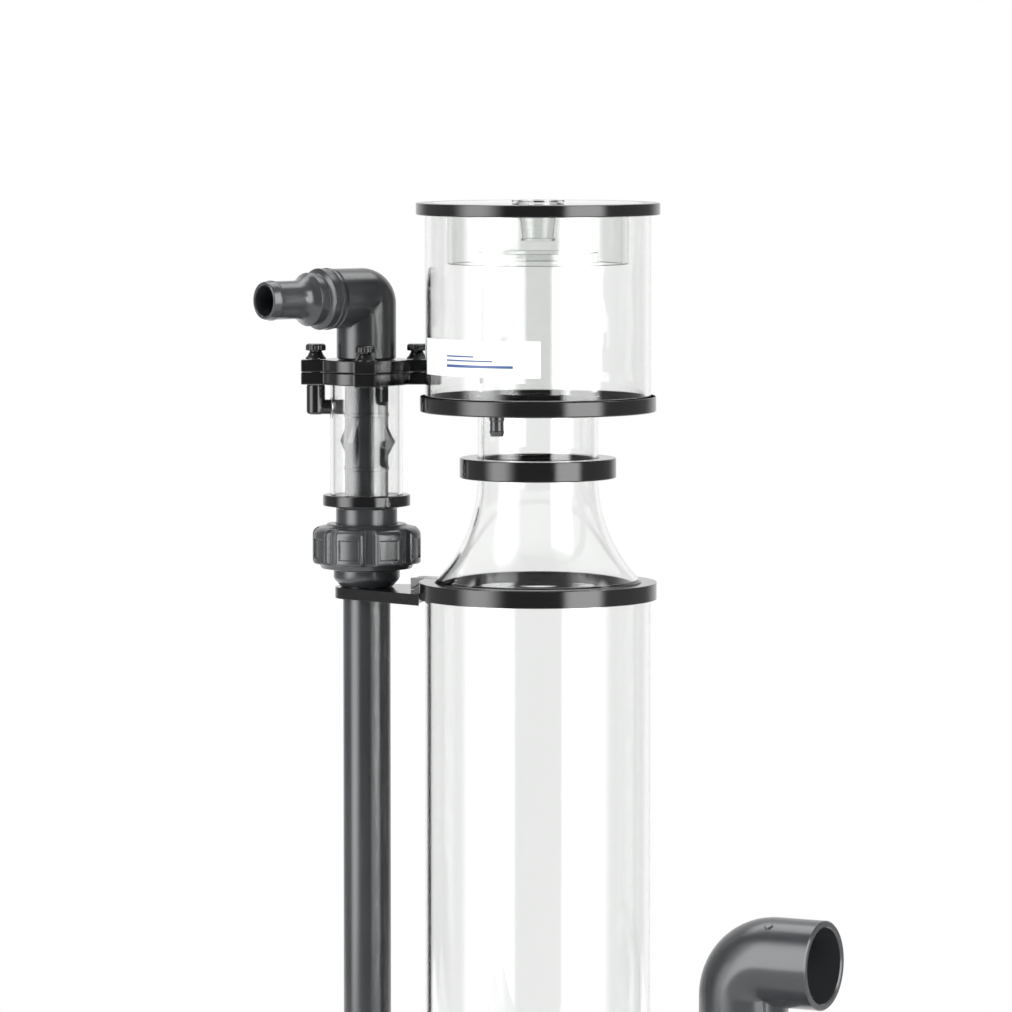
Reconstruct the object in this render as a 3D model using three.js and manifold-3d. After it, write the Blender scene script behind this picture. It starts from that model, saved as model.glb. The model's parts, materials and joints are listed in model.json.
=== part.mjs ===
// Protein skimmer: a clear column with a lift-off foam cup, a venturi injector on its inlet pipe
// and a valved outlet riser. Millimetres, +Z up; the origin is under the column's axis, on the floor.
import * as THREE from "three";
import { mergeVertices } from "three/addons/utils/BufferGeometryUtils.js";
import Module from "manifold-3d";

const wasm = await Module();
wasm.setup();

// ---- Gaps -----------------------------------------------------------------------------------
const gap = 0.3; // between glued or seated faces
const slideGap = 0.5; // radial, between pieces that move on each other

// ---- Tubes and pipes ------------------------------------------------------------------------
const column = { radius: 75, wall: 3.5, length: 626.9 };
const neck = { radius: 40, wall: 3, exposed: 30.7, rise: 95.3 };
const cupTube = { radius: 75, wall: 3.5, height: 122.5 };
const pipe32 = { radius: 16, wall: 2.4 };
const pipe50 = { radius: 25, wall: 2.6 };

// ---- Column ---------------------------------------------------------------------------------
const footRing = { radius: column.radius + 17, thickness: 10, bolts: 4, boltCircle: column.radius + 9 };
const bodyBolt = { head: 4.6, headHeight: 4.5, shank: 2.5, length: 20 };
const topRing = { radius: column.radius + 4, plate: 7.5, skirt: 3.5, hole: column.radius - 10 };
const tab = { width: 18, reach: 11 };
const bell = { foot: column.radius - 6, height: 69.2, wall: 3, spigot: 6 };
const collar = { radius: neck.radius + 12, height: 13.3 };
const neckSeal = { section: 1.3, height: 10 };

// ---- Foam cup and lid -----------------------------------------------------------------------
const cupBase = { radius: cupTube.radius + 3.5, thickness: 10.3 };
const label = { from: -165, to: -89, bottom: 15.5, height: 24, thickness: 0.6 };
const drain = { fromNeck: 17, bearing: -118.5, radius: 5, bore: 3.25, below: 13.5 };
const lid = { radius: cupTube.radius + 6, thickness: 8, groove: 3, hole: cupTube.radius - 9, rebateWidth: 4 };
const lidDisc = { thickness: 4, hole: 15 };
const sleeve = { radius: cupTube.radius - 15, wall: 3, length: 36.2 };
const stopper = { lip: lidDisc.hole + 2.5, lipHeight: 1.5, tip: lidDisc.hole - 3.7, length: 25.5, wall: 1.6 };

// ---- Injector on the inlet pipe -------------------------------------------------------------
const injector = { fromColumn: 52.5, bearing: 154.4, tailHeading: 218 };
const bracket = { thickness: 7.5, eye: pipe32.radius + 5.3, flare: 32 };
const bracketScrew = { head: 4.5, shank: 2.4, inset: 5.2 };
const chamber = { radius: pipe32.radius + 8.5, wall: 3, length: 73.6 };
const nozzle = {
  radius: pipe32.radius - 1.3, bore: pipe32.radius - 5, throat: pipe32.radius - 8.5,
  bottom: 10, fin: chamber.radius - 4.1, finThickness: 4, finHalf: 17,
};
const unionTail = { radius: pipe32.radius + 6.3, height: 12.4, thread: pipe32.radius + 12.4 };
const unionNut = { radius: unionTail.thread + 8.2, height: 30, lobes: 8, lobeStep: 3.6, phase: -108.5 };
const unionHead = { radius: nozzle.radius + 5.9, exposed: 12, shoulder: unionTail.thread - 2.4 };
const unionSeal = { radius: pipe32.radius + 3.4, section: 1.2 };
const flange = { radius: chamber.radius + 4.9, thickness: 7.5 };
const lug = { plate: 8.2, reach: flange.radius + 14.4, width: 14.5, screwCircle: flange.radius + 4.6 };
const capSeal = { radius: chamber.radius + 2, section: 1.1 };
const thumb = { cap: 6.8, capHeight: 4.6, neck: 3.9, skirt: 7, height: 10.3, shank: 2.8, depth: 14 };
const elbow32 = {
  radius: pipe32.radius + 4, bore: pipe32.radius - 2.6, socketDepth: 12, rise: 41.1,
  reach: pipe32.radius + 14,
};
const hoseTail = {
  length: elbow32.reach + 55, mouth: 13, bore: 10, shoulder: elbow32.radius + 0.6, step: pipe32.radius + 2.2,
};
const airElbow = { radius: 6.3, drop: 20, leg: 5, bore: 2.6 };
const airTube = { bearing: -50.6, radius: 2.9, bore: 1.7, below: 11, depth: 5 };

// ---- Inlet and outlet at the foot -----------------------------------------------------------
const inlet = { height: 72, saddle: pipe32.radius + 7.5, saddleLength: 17, swirlReach: pipe32.radius + 11 };
const elbow50 = { radius: pipe50.radius + 5, bend: pipe50.radius + 6, socketDepth: 28 };
const outlet = { height: 75, mouthHeight: 396.8, heading: -29, saddle: elbow50.radius, saddleLength: 2.3 };
const valve = {
  centre: 226, body: pipe50.radius + 12, length: 2 * pipe50.radius + 12, thread: pipe50.radius + 9,
  bore: pipe50.radius - 5, ball: pipe50.radius + 1.5,
};
const valveNut = { radius: valve.thread + 10, height: 33, lobes: 8, lobeStep: 3.8, overlap: 15, phase: -90 };
const valveEnd = { radius: pipe50.radius + 5.5, length: 40, shoulder: valve.thread - 0.4 };
const stem = {
  radius: 6, boss: 13, bossReach: valveNut.radius + 2, handleHub: 15, handleHeight: 16, bar: 92,
};

// ---- Base plate, under everything -----------------------------------------------------------
const base = {
  length: 2 * column.radius + 200, depth: 2 * column.radius + 50, thickness: 15, corner: 22, centreX: 14,
};

// ---- Heights that follow --------------------------------------------------------------------
const columnBottom = base.thickness + gap;
const columnTop = columnBottom + column.length;
const plateBottom = columnTop + gap;
const ringTop = plateBottom + topRing.plate;
const bellFoot = ringTop + gap;
const collarBottom = bellFoot + bell.height;
const bellTop = collarBottom + bell.spigot;
const collarTop = collarBottom + collar.height;
const cupBaseBottom = collarTop + neck.exposed;
const cupBaseTop = cupBaseBottom + cupBase.thickness;
const neckTop = cupBaseTop + neck.rise;
const cupWallTop = cupBaseTop + gap + cupTube.height;
const lidBottom = cupWallTop + gap - lid.groove;
const lidTop = lidBottom + lid.thickness;
const discBottom = lidTop - lidDisc.thickness;

const bracketTop = plateBottom - gap;
const bracketBottom = bracketTop - bracket.thickness;
const unionTailBottom = bracketTop + gap;
const nutBottom = unionTailBottom + unionTail.height;
const nutTop = nutBottom + unionNut.height;
const lowerFlangeBottom = nutTop + unionHead.exposed;
const lowerFlangeTop = lowerFlangeBottom + flange.thickness;
const chamberBottom = lowerFlangeTop + gap;
const chamberTop = chamberBottom + chamber.length;
const seatPlateBottom = chamberTop + gap;
const seatPlateTop = seatPlateBottom + lug.plate;
const capPlateBottom = seatPlateTop + gap;
const capPlateTop = capPlateBottom + lug.plate;
const tailAxis = capPlateTop + gap + elbow32.rise;

const injectorDistance = column.radius + injector.fromColumn;
const elbow50Reach = elbow50.bend + elbow50.socketDepth + 1;
const outletDistance = column.radius + gap + outlet.saddleLength + elbow50Reach;

// ---- Materials ------------------------------------------------------------------------------
const finish = (color, roughness, opacity = 1) =>
  new THREE.MeshStandardMaterial({ color, roughness, metalness: 0, opacity, transparent: opacity < 1 });
const materials = {
  acrylic: finish(0xeef1f0, 0.05, 0.3),
  black: finish(0x17181a, 0.25),
  grey: finish(0x4a4c4f, 0.35),
  rubber: finish(0x101010, 0.8),
  nylon: finish(0xd9d9d4, 0.45),
  seat: finish(0xf2f2ee, 0.5),
};

// ---- Geometry helpers -----------------------------------------------------------------------
const fine = 32; // facets round a large turned piece
const medium = 24;
const small = 12;
const radians = THREE.MathUtils.degToRad;
const injectorAngle = radians(injector.bearing);

// The point at a distance and a bearing from the axis.
const polar = (distance, degrees) =>
  [distance * Math.cos(radians(degrees)), distance * Math.sin(radians(degrees))];

// A turned solid about Z. The profile is a list of [radius, height]; it closes on itself, or on the axis.
function turned(profile, facets = medium) {
  const points = profile.map(([r, z]) => new THREE.Vector2(r, z));
  const onAxis = profile[0][0] === 0 && profile[profile.length - 1][0] === 0;
  if (THREE.ShapeUtils.area(points) < 0) points.reverse();
  if (!onAxis) points.push(points[0].clone());
  return new THREE.LatheGeometry(points, facets).rotateX(Math.PI / 2);
}

const tube = (outer, inner, bottom, top, facets = medium) =>
  turned([[inner, bottom], [outer, bottom], [outer, top], [inner, top]], facets);

const rod = (radius, bottom, top, facets = medium) =>
  turned([[0, bottom], [radius, bottom], [radius, top], [0, top]], facets);

// An O-ring: a round section turned about Z.
function ringSeal(radius, section, height) {
  return new THREE.TorusGeometry(radius, section, 6, medium).translate(0, 0, height);
}

// A rod lying along X, from one distance to another.
const lyingRod = (radius, from, to, facets = medium) => rod(radius, from, to, facets).rotateY(Math.PI / 2);

function solid(geometry) {
  const bare = geometry.clone();
  for (const name of Object.keys(bare.attributes)) if (name !== "position") bare.deleteAttribute(name);
  const merged = mergeVertices(bare, 1e-3);
  return new wasm.Manifold(
    new wasm.Mesh({
      numProp: 3,
      vertProperties: new Float32Array(merged.attributes.position.array),
      triVerts: new Uint32Array(merged.index.array),
    }),
  );
}

function shell(manifold) {
  const mesh = manifold.getMesh();
  return new THREE.BufferGeometry()
    .setAttribute("position", new THREE.BufferAttribute(new Float32Array(mesh.vertProperties), 3))
    .setIndex(new THREE.BufferAttribute(new Uint32Array(mesh.triVerts), 1));
}

const joined = (first, ...more) => shell(more.reduce((sum, g) => sum.add(solid(g)), solid(first)));
const cut = (first, ...more) => shell(more.reduce((left, g) => left.subtract(solid(g)), solid(first)));
const common = (first, second) => shell(solid(first).intersect(solid(second)));

function extruded(shape, bottom, height, curveSegments = 12) {
  return new THREE.ExtrudeGeometry(shape, { depth: height, bevelEnabled: false, curveSegments })
    .translate(0, 0, bottom);
}

// A square-edged bar that points along +X, between two distances from the axis.
function spoke(width, from, to, bottom, height) {
  return new THREE.BoxGeometry(to - from, width, height)
    .translate((from + to) / 2, 0, bottom + height / 2);
}

// ---- Assembly -------------------------------------------------------------------------------
const skimmer = new THREE.Group();
const injectorGroup = new THREE.Group();
injectorGroup.position.set(...polar(injectorDistance, injector.bearing), 0);
const outletGroup = new THREE.Group();
outletGroup.position.set(outletDistance, 0, 0);
skimmer.add(injectorGroup, outletGroup);

function add(group, name, geometry, material) {
  const mesh = new THREE.Mesh(geometry, material);
  mesh.name = name;
  group.add(mesh);
  return mesh;
}

// ---- Column pieces --------------------------------------------------------------------------
function basePlate() {
  const { length, depth, corner, thickness, centreX } = base;
  const right = centreX + length / 2 - corner;
  const left = centreX - length / 2 + corner;
  const back = depth / 2 - corner;
  const outline = new THREE.Shape()
    .absarc(right, back, corner, 0, Math.PI / 2)
    .absarc(left, back, corner, Math.PI / 2, Math.PI)
    .absarc(left, -back, corner, Math.PI, 1.5 * Math.PI)
    .absarc(right, -back, corner, 1.5 * Math.PI, 2 * Math.PI);
  const hole = rod(bodyBolt.shank + gap, boltBottom - gap, base.thickness + 1, small);
  const holes = boltPlaces().map(([x, y]) => hole.clone().translate(x, y, 0));
  return cut(extruded(outline, 0, thickness, 5), ...holes);
}

const footRingTop = columnBottom + footRing.thickness;
const boltBottom = footRingTop + gap - bodyBolt.length;

function boltPlaces() {
  return Array.from({ length: footRing.bolts }, (_, i) =>
    polar(footRing.boltCircle, ((i + 0.5) * 360) / footRing.bolts));
}

function footRingShape() {
  const ring = tube(footRing.radius, column.radius + gap, columnBottom, footRingTop, fine);
  const holes = boltPlaces().map(([x, y]) =>
    rod(bodyBolt.shank + gap, columnBottom - 1, footRingTop + 1, small).translate(x, y, 0));
  return cut(ring, ...holes);
}

function bolt() {
  const { head, headHeight, shank, length } = bodyBolt;
  const seat = footRingTop + gap;
  return turned([
    [0, seat - length], [shank, seat - length], [shank, seat], [head, seat],
    [head, seat + headHeight], [0, seat + headHeight],
  ], small);
}

function columnTube() {
  const wall = tube(column.radius, column.radius - column.wall, columnBottom, columnTop, fine);
  const inletHole = lyingRod(pipe32.radius + gap, 0, 2 * column.radius)
    .rotateZ(injectorAngle).translate(0, 0, inlet.height);
  const outletHole = lyingRod(pipe50.radius + gap, 0, 2 * column.radius).translate(0, 0, outlet.height);
  return cut(wall, inletHole, outletHole);
}

function topRingShape() {
  const { radius, skirt, hole } = topRing;
  const seat = column.radius + gap;
  const ring = turned([
    [hole, plateBottom], [seat, plateBottom], [seat, plateBottom - skirt],
    [radius, plateBottom - skirt], [radius, ringTop], [hole, ringTop],
  ], fine);
  const ear = spoke(tab.width, radius - 5, radius + tab.reach, plateBottom, topRing.plate);
  const screwHole = bracketScrewShape(gap);
  return cut(joined(ring, ear.rotateZ(injectorAngle)), screwHole);
}

// The countersunk screw that clamps the pipe bracket under the ring's tab.
function bracketScrewShape(clearance = 0) {
  const { head, shank, inset } = bracketScrew;
  const over = clearance ? 1 : 0;
  const depth = head - shank;
  return turned([
    [0, bracketBottom + gap - over * 2], [shank + clearance, bracketBottom + gap - over * 2],
    [shank + clearance, ringTop - gap - depth], [head + clearance, ringTop - gap],
    [head + clearance, ringTop - gap + over], [0, ringTop - gap + over],
  ], small)
    .translate(topRing.radius + inset, 0, 0)
    .rotateZ(injectorAngle);
}

function bellShape() {
  const { foot, height, wall, spigot } = bell;
  const flareOut = foot - neck.radius;
  const sweep = (height * height + flareOut * flareOut) / (2 * flareOut);
  const centre = neck.radius + sweep;
  const steps = 5;
  const arc = (r) => Array.from({ length: steps + 1 }, (_, i) => {
    const a = (Math.asin(height / r) * i) / steps;
    return [centre - r * Math.cos(a), collarBottom - r * Math.sin(a)];
  });
  const inside = neck.radius - wall;
  return turned([
    [inside, collarBottom + spigot], ...arc(sweep + wall),
    ...arc(sweep).reverse(), [neck.radius, collarBottom + spigot],
  ], fine);
}

function collarShape() {
  const bore = neck.radius + slideGap;
  const groove = neckSeal.section + gap;
  const middle = collarBottom + neckSeal.height;
  const depth = bore + 2 * groove;
  return turned([
    [bore, collarBottom], [collar.radius, collarBottom], [collar.radius, collarTop], [bore, collarTop],
    [bore, middle + groove], [depth, middle + groove], [depth, middle - groove], [bore, middle - groove],
  ], fine);
}

function buildColumn() {
  add(skimmer, "base_plate", basePlate(), materials.black);
  add(skimmer, "foot_ring", footRingShape(), materials.black);
  boltPlaces().forEach(([x, y], i) =>
    add(skimmer, "foot_bolt_" + (i + 1), bolt(), materials.nylon).position.set(x, y, 0));
  add(skimmer, "column_tube", columnTube(), materials.acrylic);
  add(skimmer, "top_ring", topRingShape(), materials.black);
  add(skimmer, "bell_reducer", bellShape(), materials.acrylic);
  add(skimmer, "neck_collar", collarShape(), materials.black);
  add(skimmer, "neck_o_ring",
    ringSeal(
      neck.radius + slideGap + neckSeal.section + gap, neckSeal.section, collarBottom + neckSeal.height),
    materials.rubber);
}

// ---- Foam cup -------------------------------------------------------------------------------
const drainPlace = polar(neck.radius + drain.fromNeck, drain.bearing);

function cupBaseShape() {
  const disc = tube(cupBase.radius, neck.radius + gap, cupBaseBottom, cupBaseTop, fine);
  const hole = rod(drain.radius + gap, cupBaseBottom - 1, cupBaseTop + 1, small);
  return cut(disc, hole.translate(...drainPlace, 0));
}

// A curved plate on the outside of the cup's wall.
function labelShape() {
  const { from, to, bottom, height, thickness } = label;
  const back = cupTube.radius + gap;
  const outline = new THREE.Shape()
    .absarc(0, 0, back + thickness, radians(from), radians(to))
    .absarc(0, 0, back, radians(to), radians(from), true);
  return extruded(outline, cupBaseTop + bottom, height, 5);
}

function buildCup() {
  add(skimmer, "cup_base", cupBaseShape(), materials.black);
  add(skimmer, "cup_wall",
    tube(cupTube.radius, cupTube.radius - cupTube.wall, cupBaseTop + gap, cupWallTop, fine),
    materials.acrylic);
  add(skimmer, "cup_label", labelShape(), materials.nylon);
  add(skimmer, "neck_tube",
    tube(neck.radius, neck.radius - neck.wall, bellTop + gap, neckTop, fine), materials.acrylic);
  add(skimmer, "drain_nozzle",
    tube(drain.radius, drain.bore, cupBaseBottom - drain.below, cupBaseTop - gap, small), materials.grey)
    .position.set(...drainPlace, 0);
}

// ---- Lid ------------------------------------------------------------------------------------
function lidRing() {
  const { radius, groove, hole, rebateWidth } = lid;
  const outside = cupTube.radius + slideGap;
  const inside = cupTube.radius - cupTube.wall - slideGap;
  return turned([
    [hole, lidBottom], [inside, lidBottom], [inside, lidBottom + groove], [outside, lidBottom + groove],
    [outside, lidBottom], [radius, lidBottom], [radius, lidTop], [hole + rebateWidth, lidTop],
    [hole + rebateWidth, discBottom - gap], [hole, discBottom - gap],
  ], fine);
}

function stopperShape() {
  const { lip, lipHeight, tip, length, wall } = stopper;
  const throat = lidDisc.hole - slideGap;
  const seat = lidTop + gap;
  const bottom = seat - length;
  return turned([
    [0, bottom], [tip, bottom], [throat, seat - lidDisc.thickness], [throat, seat], [lip, seat],
    [lip, seat + lipHeight], [throat - wall, seat + lipHeight], [tip - wall, bottom + wall],
    [0, bottom + wall],
  ], medium);
}

function buildLid() {
  add(skimmer, "lid_ring", lidRing(), materials.black);
  add(skimmer, "lid_disc",
    tube(lid.hole + lid.rebateWidth - gap, lidDisc.hole, discBottom, lidTop, fine), materials.acrylic);
  add(skimmer, "lid_sleeve",
    tube(
      sleeve.radius, sleeve.radius - sleeve.wall, discBottom - gap - sleeve.length, discBottom - gap, fine),
    materials.acrylic);
  add(skimmer, "lid_stopper", stopperShape(), materials.acrylic);
}

// ---- Pipe fittings --------------------------------------------------------------------------
// A tight elbow, its corner on the Z axis at height 0: one leg goes down, the other along +X.
function tightElbow({ radius, bore, socketDepth }, down, along, socket) {
  const ball = new THREE.SphereGeometry(radius, medium, small).rotateX(Math.PI / 2);
  return cut(joined(rod(radius, -down, 0), lyingRod(radius, 0, along), ball),
    rod(bore, -down - 1, bore), lyingRod(bore, -bore, along + 1),
    rod(socket, -down - 1, socketDepth - down), lyingRod(socket, along - socketDepth, along + 1));
}

// A swept elbow: two sockets joined by a quarter bend, one facing down and the other along +X.
function sweptElbow(socket, waterway) {
  const { radius, bend, socketDepth } = elbow50;
  const reach = elbow50Reach;
  const centre = new THREE.Vector3(bend, 0, -bend);
  const quarter = (section, from, to) => {
    const profile = new THREE.Shape().absarc(0, 0, section, 0, 2 * Math.PI);
    const path = new THREE.CatmullRomCurve3(Array.from({ length: 9 }, (_, i) => {
      const a = Math.PI - ((Math.PI / 2) * i) / 8;
      return new THREE.Vector3(centre.x + bend * Math.cos(a), 0, centre.z + bend * Math.sin(a));
    }));
    path.points.unshift(new THREE.Vector3(0, 0, from));
    path.points.push(new THREE.Vector3(to, 0, 0));
    return new THREE.ExtrudeGeometry(profile, { steps: 9, extrudePath: path, curveSegments: 9 });
  };
  return cut(quarter(radius, -reach, reach),
    quarter(waterway, -reach - 1, reach + 1),
    rod(socket, -reach - 2, socketDepth - reach),
    lyingRod(socket, reach - socketDepth, reach + 2));
}

// A union nut with grip lobes, from height 0 up. The hole is at the top and the thread bore below it.
function lobedNut({ radius, height, lobes, lobeStep, phase }, hole, bore, lip) {
  const core = radius - lobeStep;
  const pitch = (2 * Math.PI) / lobes;
  const outline = new THREE.Shape();
  for (let i = 0; i < lobes; i++) {
    outline.absarc(0, 0, radius, (i - 0.27) * pitch, (i + 0.27) * pitch);
    outline.absarc(0, 0, core, (i + 0.34) * pitch, (i + 0.66) * pitch);
  }
  const grips = extruded(outline, 2.5, height - 9, 1).rotateZ(radians(phase));
  const body = turned([
    [0, 0], [core - 3, 0], [core - 0.5, 2.5], [core - 0.5, height - 6.5], [core - 8, height], [0, height],
  ]);
  return cut(joined(body, grips), rod(hole, -1, height + 1), rod(bore, -1, height - lip));
}

// ---- Inlet pipe, union and bracket ----------------------------------------------------------
function bracketShape() {
  const { thickness, eye, flare } = bracket;
  const inner = topRing.radius + slideGap;
  const half = radians(flare);
  const far = injectorDistance;
  const corner = [inner * Math.cos(half), inner * Math.sin(half)];
  const spread = Math.atan2(corner[1], far - corner[0]);
  const tangent = Math.asin(Math.min(0.99, eye / Math.hypot(far - corner[0], corner[1])));
  const meet = Math.PI / 2 - (spread - tangent);
  const outline = new THREE.Shape()
    .moveTo(...corner)
    .absarc(far, 0, eye, meet, -meet, true)
    .lineTo(corner[0], -corner[1])
    .absarc(0, 0, inner, -half, half, false);
  const plate = extruded(outline, bracketBottom, thickness, 14);
  const eyeHole = rod(pipe32.radius + gap, bracketBottom - 1, bracketTop + 1).translate(far, 0, 0);
  return cut(plate.rotateZ(injectorAngle), eyeHole.rotateZ(injectorAngle), bracketScrewShape(gap));
}

const unionSocketTop = nutBottom + 6;
const unionFace = nutBottom + 17; // where the union's two halves meet

function unionTailShape() {
  const { radius, thread } = unionTail;
  const socket = pipe32.radius + gap;
  const groove = unionSeal.section + 0.1;
  const sealFloor = unionFace - 2 * groove;
  return turned([
    [socket, unionTailBottom], [radius - 4, unionTailBottom], [radius, unionTailBottom + 5],
    [radius, nutBottom - 1], [thread - 2, nutBottom + 1], [thread, nutBottom + 3], [thread, unionFace],
    [unionSeal.radius + groove, unionFace], [unionSeal.radius + groove, sealFloor],
    [unionSeal.radius - groove, sealFloor], [unionSeal.radius - groove, unionFace],
    [nozzle.radius + slideGap, unionFace], [nozzle.radius + slideGap, unionSocketTop],
    [socket, unionSocketTop],
  ]);
}

function unionHeadShape() {
  const { radius, shoulder } = unionHead;
  const bore = nozzle.radius + slideGap;
  const bottom = unionFace + gap;
  return turned([
    [bore, bottom], [shoulder, bottom], [shoulder, bottom + 5], [radius, bottom + 7],
    [radius, lowerFlangeBottom - gap], [bore, lowerFlangeBottom - gap],
  ]);
}

function buildInletPipe() {
  const pipeTop = unionSocketTop - gap;
  const pipeBottom = inlet.height + elbow32.reach - elbow32.socketDepth + gap;
  add(injectorGroup, "inlet_pipe",
    tube(pipe32.radius, pipe32.radius - pipe32.wall, pipeBottom, pipeTop), materials.grey);
  add(skimmer, "pipe_bracket", bracketShape(), materials.black);
  add(skimmer, "bracket_screw", bracketScrewShape(), materials.nylon);
  add(injectorGroup, "union_tail", unionTailShape(), materials.grey);
  add(injectorGroup, "union_o_ring",
    ringSeal(unionSeal.radius, unionSeal.section, unionFace - unionSeal.section - 0.1), materials.rubber);
  add(injectorGroup, "union_nut",
    lobedNut(unionNut, unionHead.radius + slideGap, unionTail.thread + slideGap, 5), materials.grey)
    .position.z = nutBottom;
  add(injectorGroup, "union_head", unionHeadShape(), materials.grey);
}

// ---- Venturi chamber and its cap ------------------------------------------------------------
const lugAngles = [0, 90, 180, 270];
const screwPlace = (degrees) => polar(lug.screwCircle, degrees);

function luggedPlate(bottom, bore, screwBore) {
  const disc = rod(flange.radius, bottom, bottom + lug.plate);
  const ears = lugAngles.map((a) =>
    spoke(lug.width, flange.radius - 8, lug.reach, bottom, lug.plate).rotateZ(radians(a)));
  const holes = lugAngles.map((a) => {
    const [x, y] = screwPlace(a);
    return rod(screwBore, bottom - 1, bottom + lug.plate + 1, small).translate(x, y, 0);
  });
  return cut(joined(disc, ...ears), rod(bore, bottom - 1, bottom + lug.plate + 1), ...holes);
}

function seatPlate() {
  const groove = capSeal.section + 0.1;
  const plate = luggedPlate(seatPlateBottom, chamber.radius - chamber.wall, thumb.shank + slideGap);
  return cut(plate,
    tube(capSeal.radius + groove, capSeal.radius - groove, seatPlateTop - 2 * groove, seatPlateTop + 1));
}

function chamberTube() {
  const wall = tube(chamber.radius, chamber.radius - chamber.wall, chamberBottom, chamberTop);
  return cut(wall, lyingRod(airElbow.leg + gap, -2 * chamber.radius, 0, small).translate(0, 0, airAxis));
}

const airTop = seatPlateBottom - gap;
const airAxis = airTop - airElbow.drop + airElbow.leg;

// The small elbow that lets air from under the left lug into the chamber.
function airElbowShape() {
  const { radius, leg, bore, drop } = airElbow;
  const [x] = screwPlace(180);
  const end = -(nozzle.radius + slideGap);
  const outside = joined(
    rod(radius, airTop - drop, airTop, small).translate(x, 0, 0),
    lyingRod(leg, x, end, small).translate(0, 0, airAxis));
  return cut(outside,
    rod(thumb.shank + slideGap, airAxis, airTop + 1, small).translate(x, 0, 0),
    lyingRod(bore, x - bore, end + 1, small).translate(0, 0, airAxis));
}

function thumbScrew() {
  const { cap, capHeight, neck: waist, skirt, height, shank, depth } = thumb;
  const seat = capPlateTop + gap;
  const top = seat + height;
  return turned([
    [0, seat - depth], [shank, seat - depth], [shank, seat], [skirt, seat],
    [waist, top - capHeight - 1], [waist, top - capHeight], [cap, top - capHeight],
    [cap, top - 1], [cap - 1.2, top], [0, top],
  ], small);
}

// The venturi: a waisted tube with two air ports and four diamond fins that centre it.
function nozzleShape() {
  const { radius, bore, throat, bottom, fin, finThickness, finHalf } = nozzle;
  const foot = lowerFlangeBottom - bottom;
  const head = tailAxis - elbow32.rise + elbow32.socketDepth - gap;
  const waist = (chamberBottom + chamberTop) / 2 - 1.3;
  const wall = turned([
    [bore, foot], [radius, foot], [radius, head], [bore, head],
    [bore, waist + 3 * finHalf], [throat, waist + 1.6 * finHalf], [throat, waist + finHalf],
  ]);
  const diamond = new THREE.Shape([
    new THREE.Vector2(radius - 1.5, finHalf), new THREE.Vector2(radius - 1.5, -finHalf),
    new THREE.Vector2(radius, -finHalf), new THREE.Vector2(fin, 0), new THREE.Vector2(radius, finHalf),
  ]);
  const fins = [60, 150, 240, 330].map((a) =>
    extruded(diamond, -finThickness / 2, finThickness)
      .rotateX(Math.PI / 2).translate(0, 0, waist).rotateZ(radians(a)));
  const port = lyingRod(4.4, -2 * radius, 2 * radius, small).rotateZ(radians(-35))
    .translate(0, 0, chamberTop - 10);
  return cut(joined(wall, ...fins), port);
}

function hoseTailShape() {
  const { length, mouth, bore, shoulder, step } = hoseTail;
  const face = elbow32.reach + gap;
  const spigot = elbow32.reach - elbow32.socketDepth + gap;
  const profile = [
    [bore, spigot], [pipe32.radius, spigot], [pipe32.radius, face], [shoulder, face],
    [shoulder, face + 11], [step, face + 11], [step, face + 20], [mouth, face + 24],
    [mouth, length - 1], [mouth - 1, length], [bore, length],
  ];
  return turned(profile).rotateY(Math.PI / 2);
}

function buildInjector() {
  add(injectorGroup, "chamber_flange",
    tube(flange.radius, nozzle.radius + slideGap, lowerFlangeBottom, lowerFlangeTop), materials.black);
  add(injectorGroup, "chamber_tube", chamberTube(), materials.acrylic);
  add(injectorGroup, "seat_plate", seatPlate(), materials.black);
  add(injectorGroup, "cap_o_ring",
    ringSeal(capSeal.radius, capSeal.section, seatPlateTop - capSeal.section - 0.1), materials.rubber);
  add(injectorGroup, "air_elbow", airElbowShape(), materials.black);
  const airGapMiddle = (nozzle.radius + chamber.radius - chamber.wall) / 2;
  const airTubePlace = polar(airGapMiddle, airTube.bearing);
  const airTubeTop = capPlateBottom + airTube.depth;
  const airTubeHole = rod(airTube.radius + gap, capPlateBottom - 1, airTubeTop, small);
  add(injectorGroup, "cap_plate",
    cut(luggedPlate(capPlateBottom, nozzle.radius + gap, thumb.shank + slideGap),
      airTubeHole.translate(...airTubePlace, 0)), materials.black);
  add(injectorGroup, "air_tube",
    tube(airTube.radius, airTube.bore, seatPlateBottom - airTube.below, airTubeTop - gap, small),
    materials.grey)
    .position.set(...airTubePlace, 0);
  add(injectorGroup, "venturi_nozzle", nozzleShape(), materials.grey);
  const names = ["thumb_screw_right", "thumb_screw_back", "air_screw_left", "thumb_screw_front"];
  lugAngles.forEach((a, i) => {
    const [x, y] = screwPlace(a);
    add(injectorGroup, names[i], thumbScrew(), materials.black).position.set(x, y, 0);
  });
  const turn = radians(injector.tailHeading);
  const elbow = add(injectorGroup, "tail_elbow",
    tightElbow(elbow32, elbow32.rise, elbow32.reach, pipe32.radius + gap), materials.grey);
  elbow.position.z = tailAxis;
  elbow.rotation.z = turn;
  const tail = add(injectorGroup, "hose_tail", hoseTailShape(), materials.grey);
  tail.position.z = tailAxis;
  tail.rotation.z = turn;
}

// ---- Inlet at the foot ----------------------------------------------------------------------

// A collar welded round a pipe where it enters the column, its back hollowed to the column's wall.
function saddle(radius, length, bore, angle, height) {
  const block = lyingRod(radius, 0, column.radius + length).rotateZ(angle).translate(0, 0, height);
  const hole = lyingRod(bore, 0, 2 * column.radius).rotateZ(angle).translate(0, 0, height);
  return cut(block, rod(column.radius + gap, height - 2 * radius, height + 2 * radius, fine), hole);
}

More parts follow.
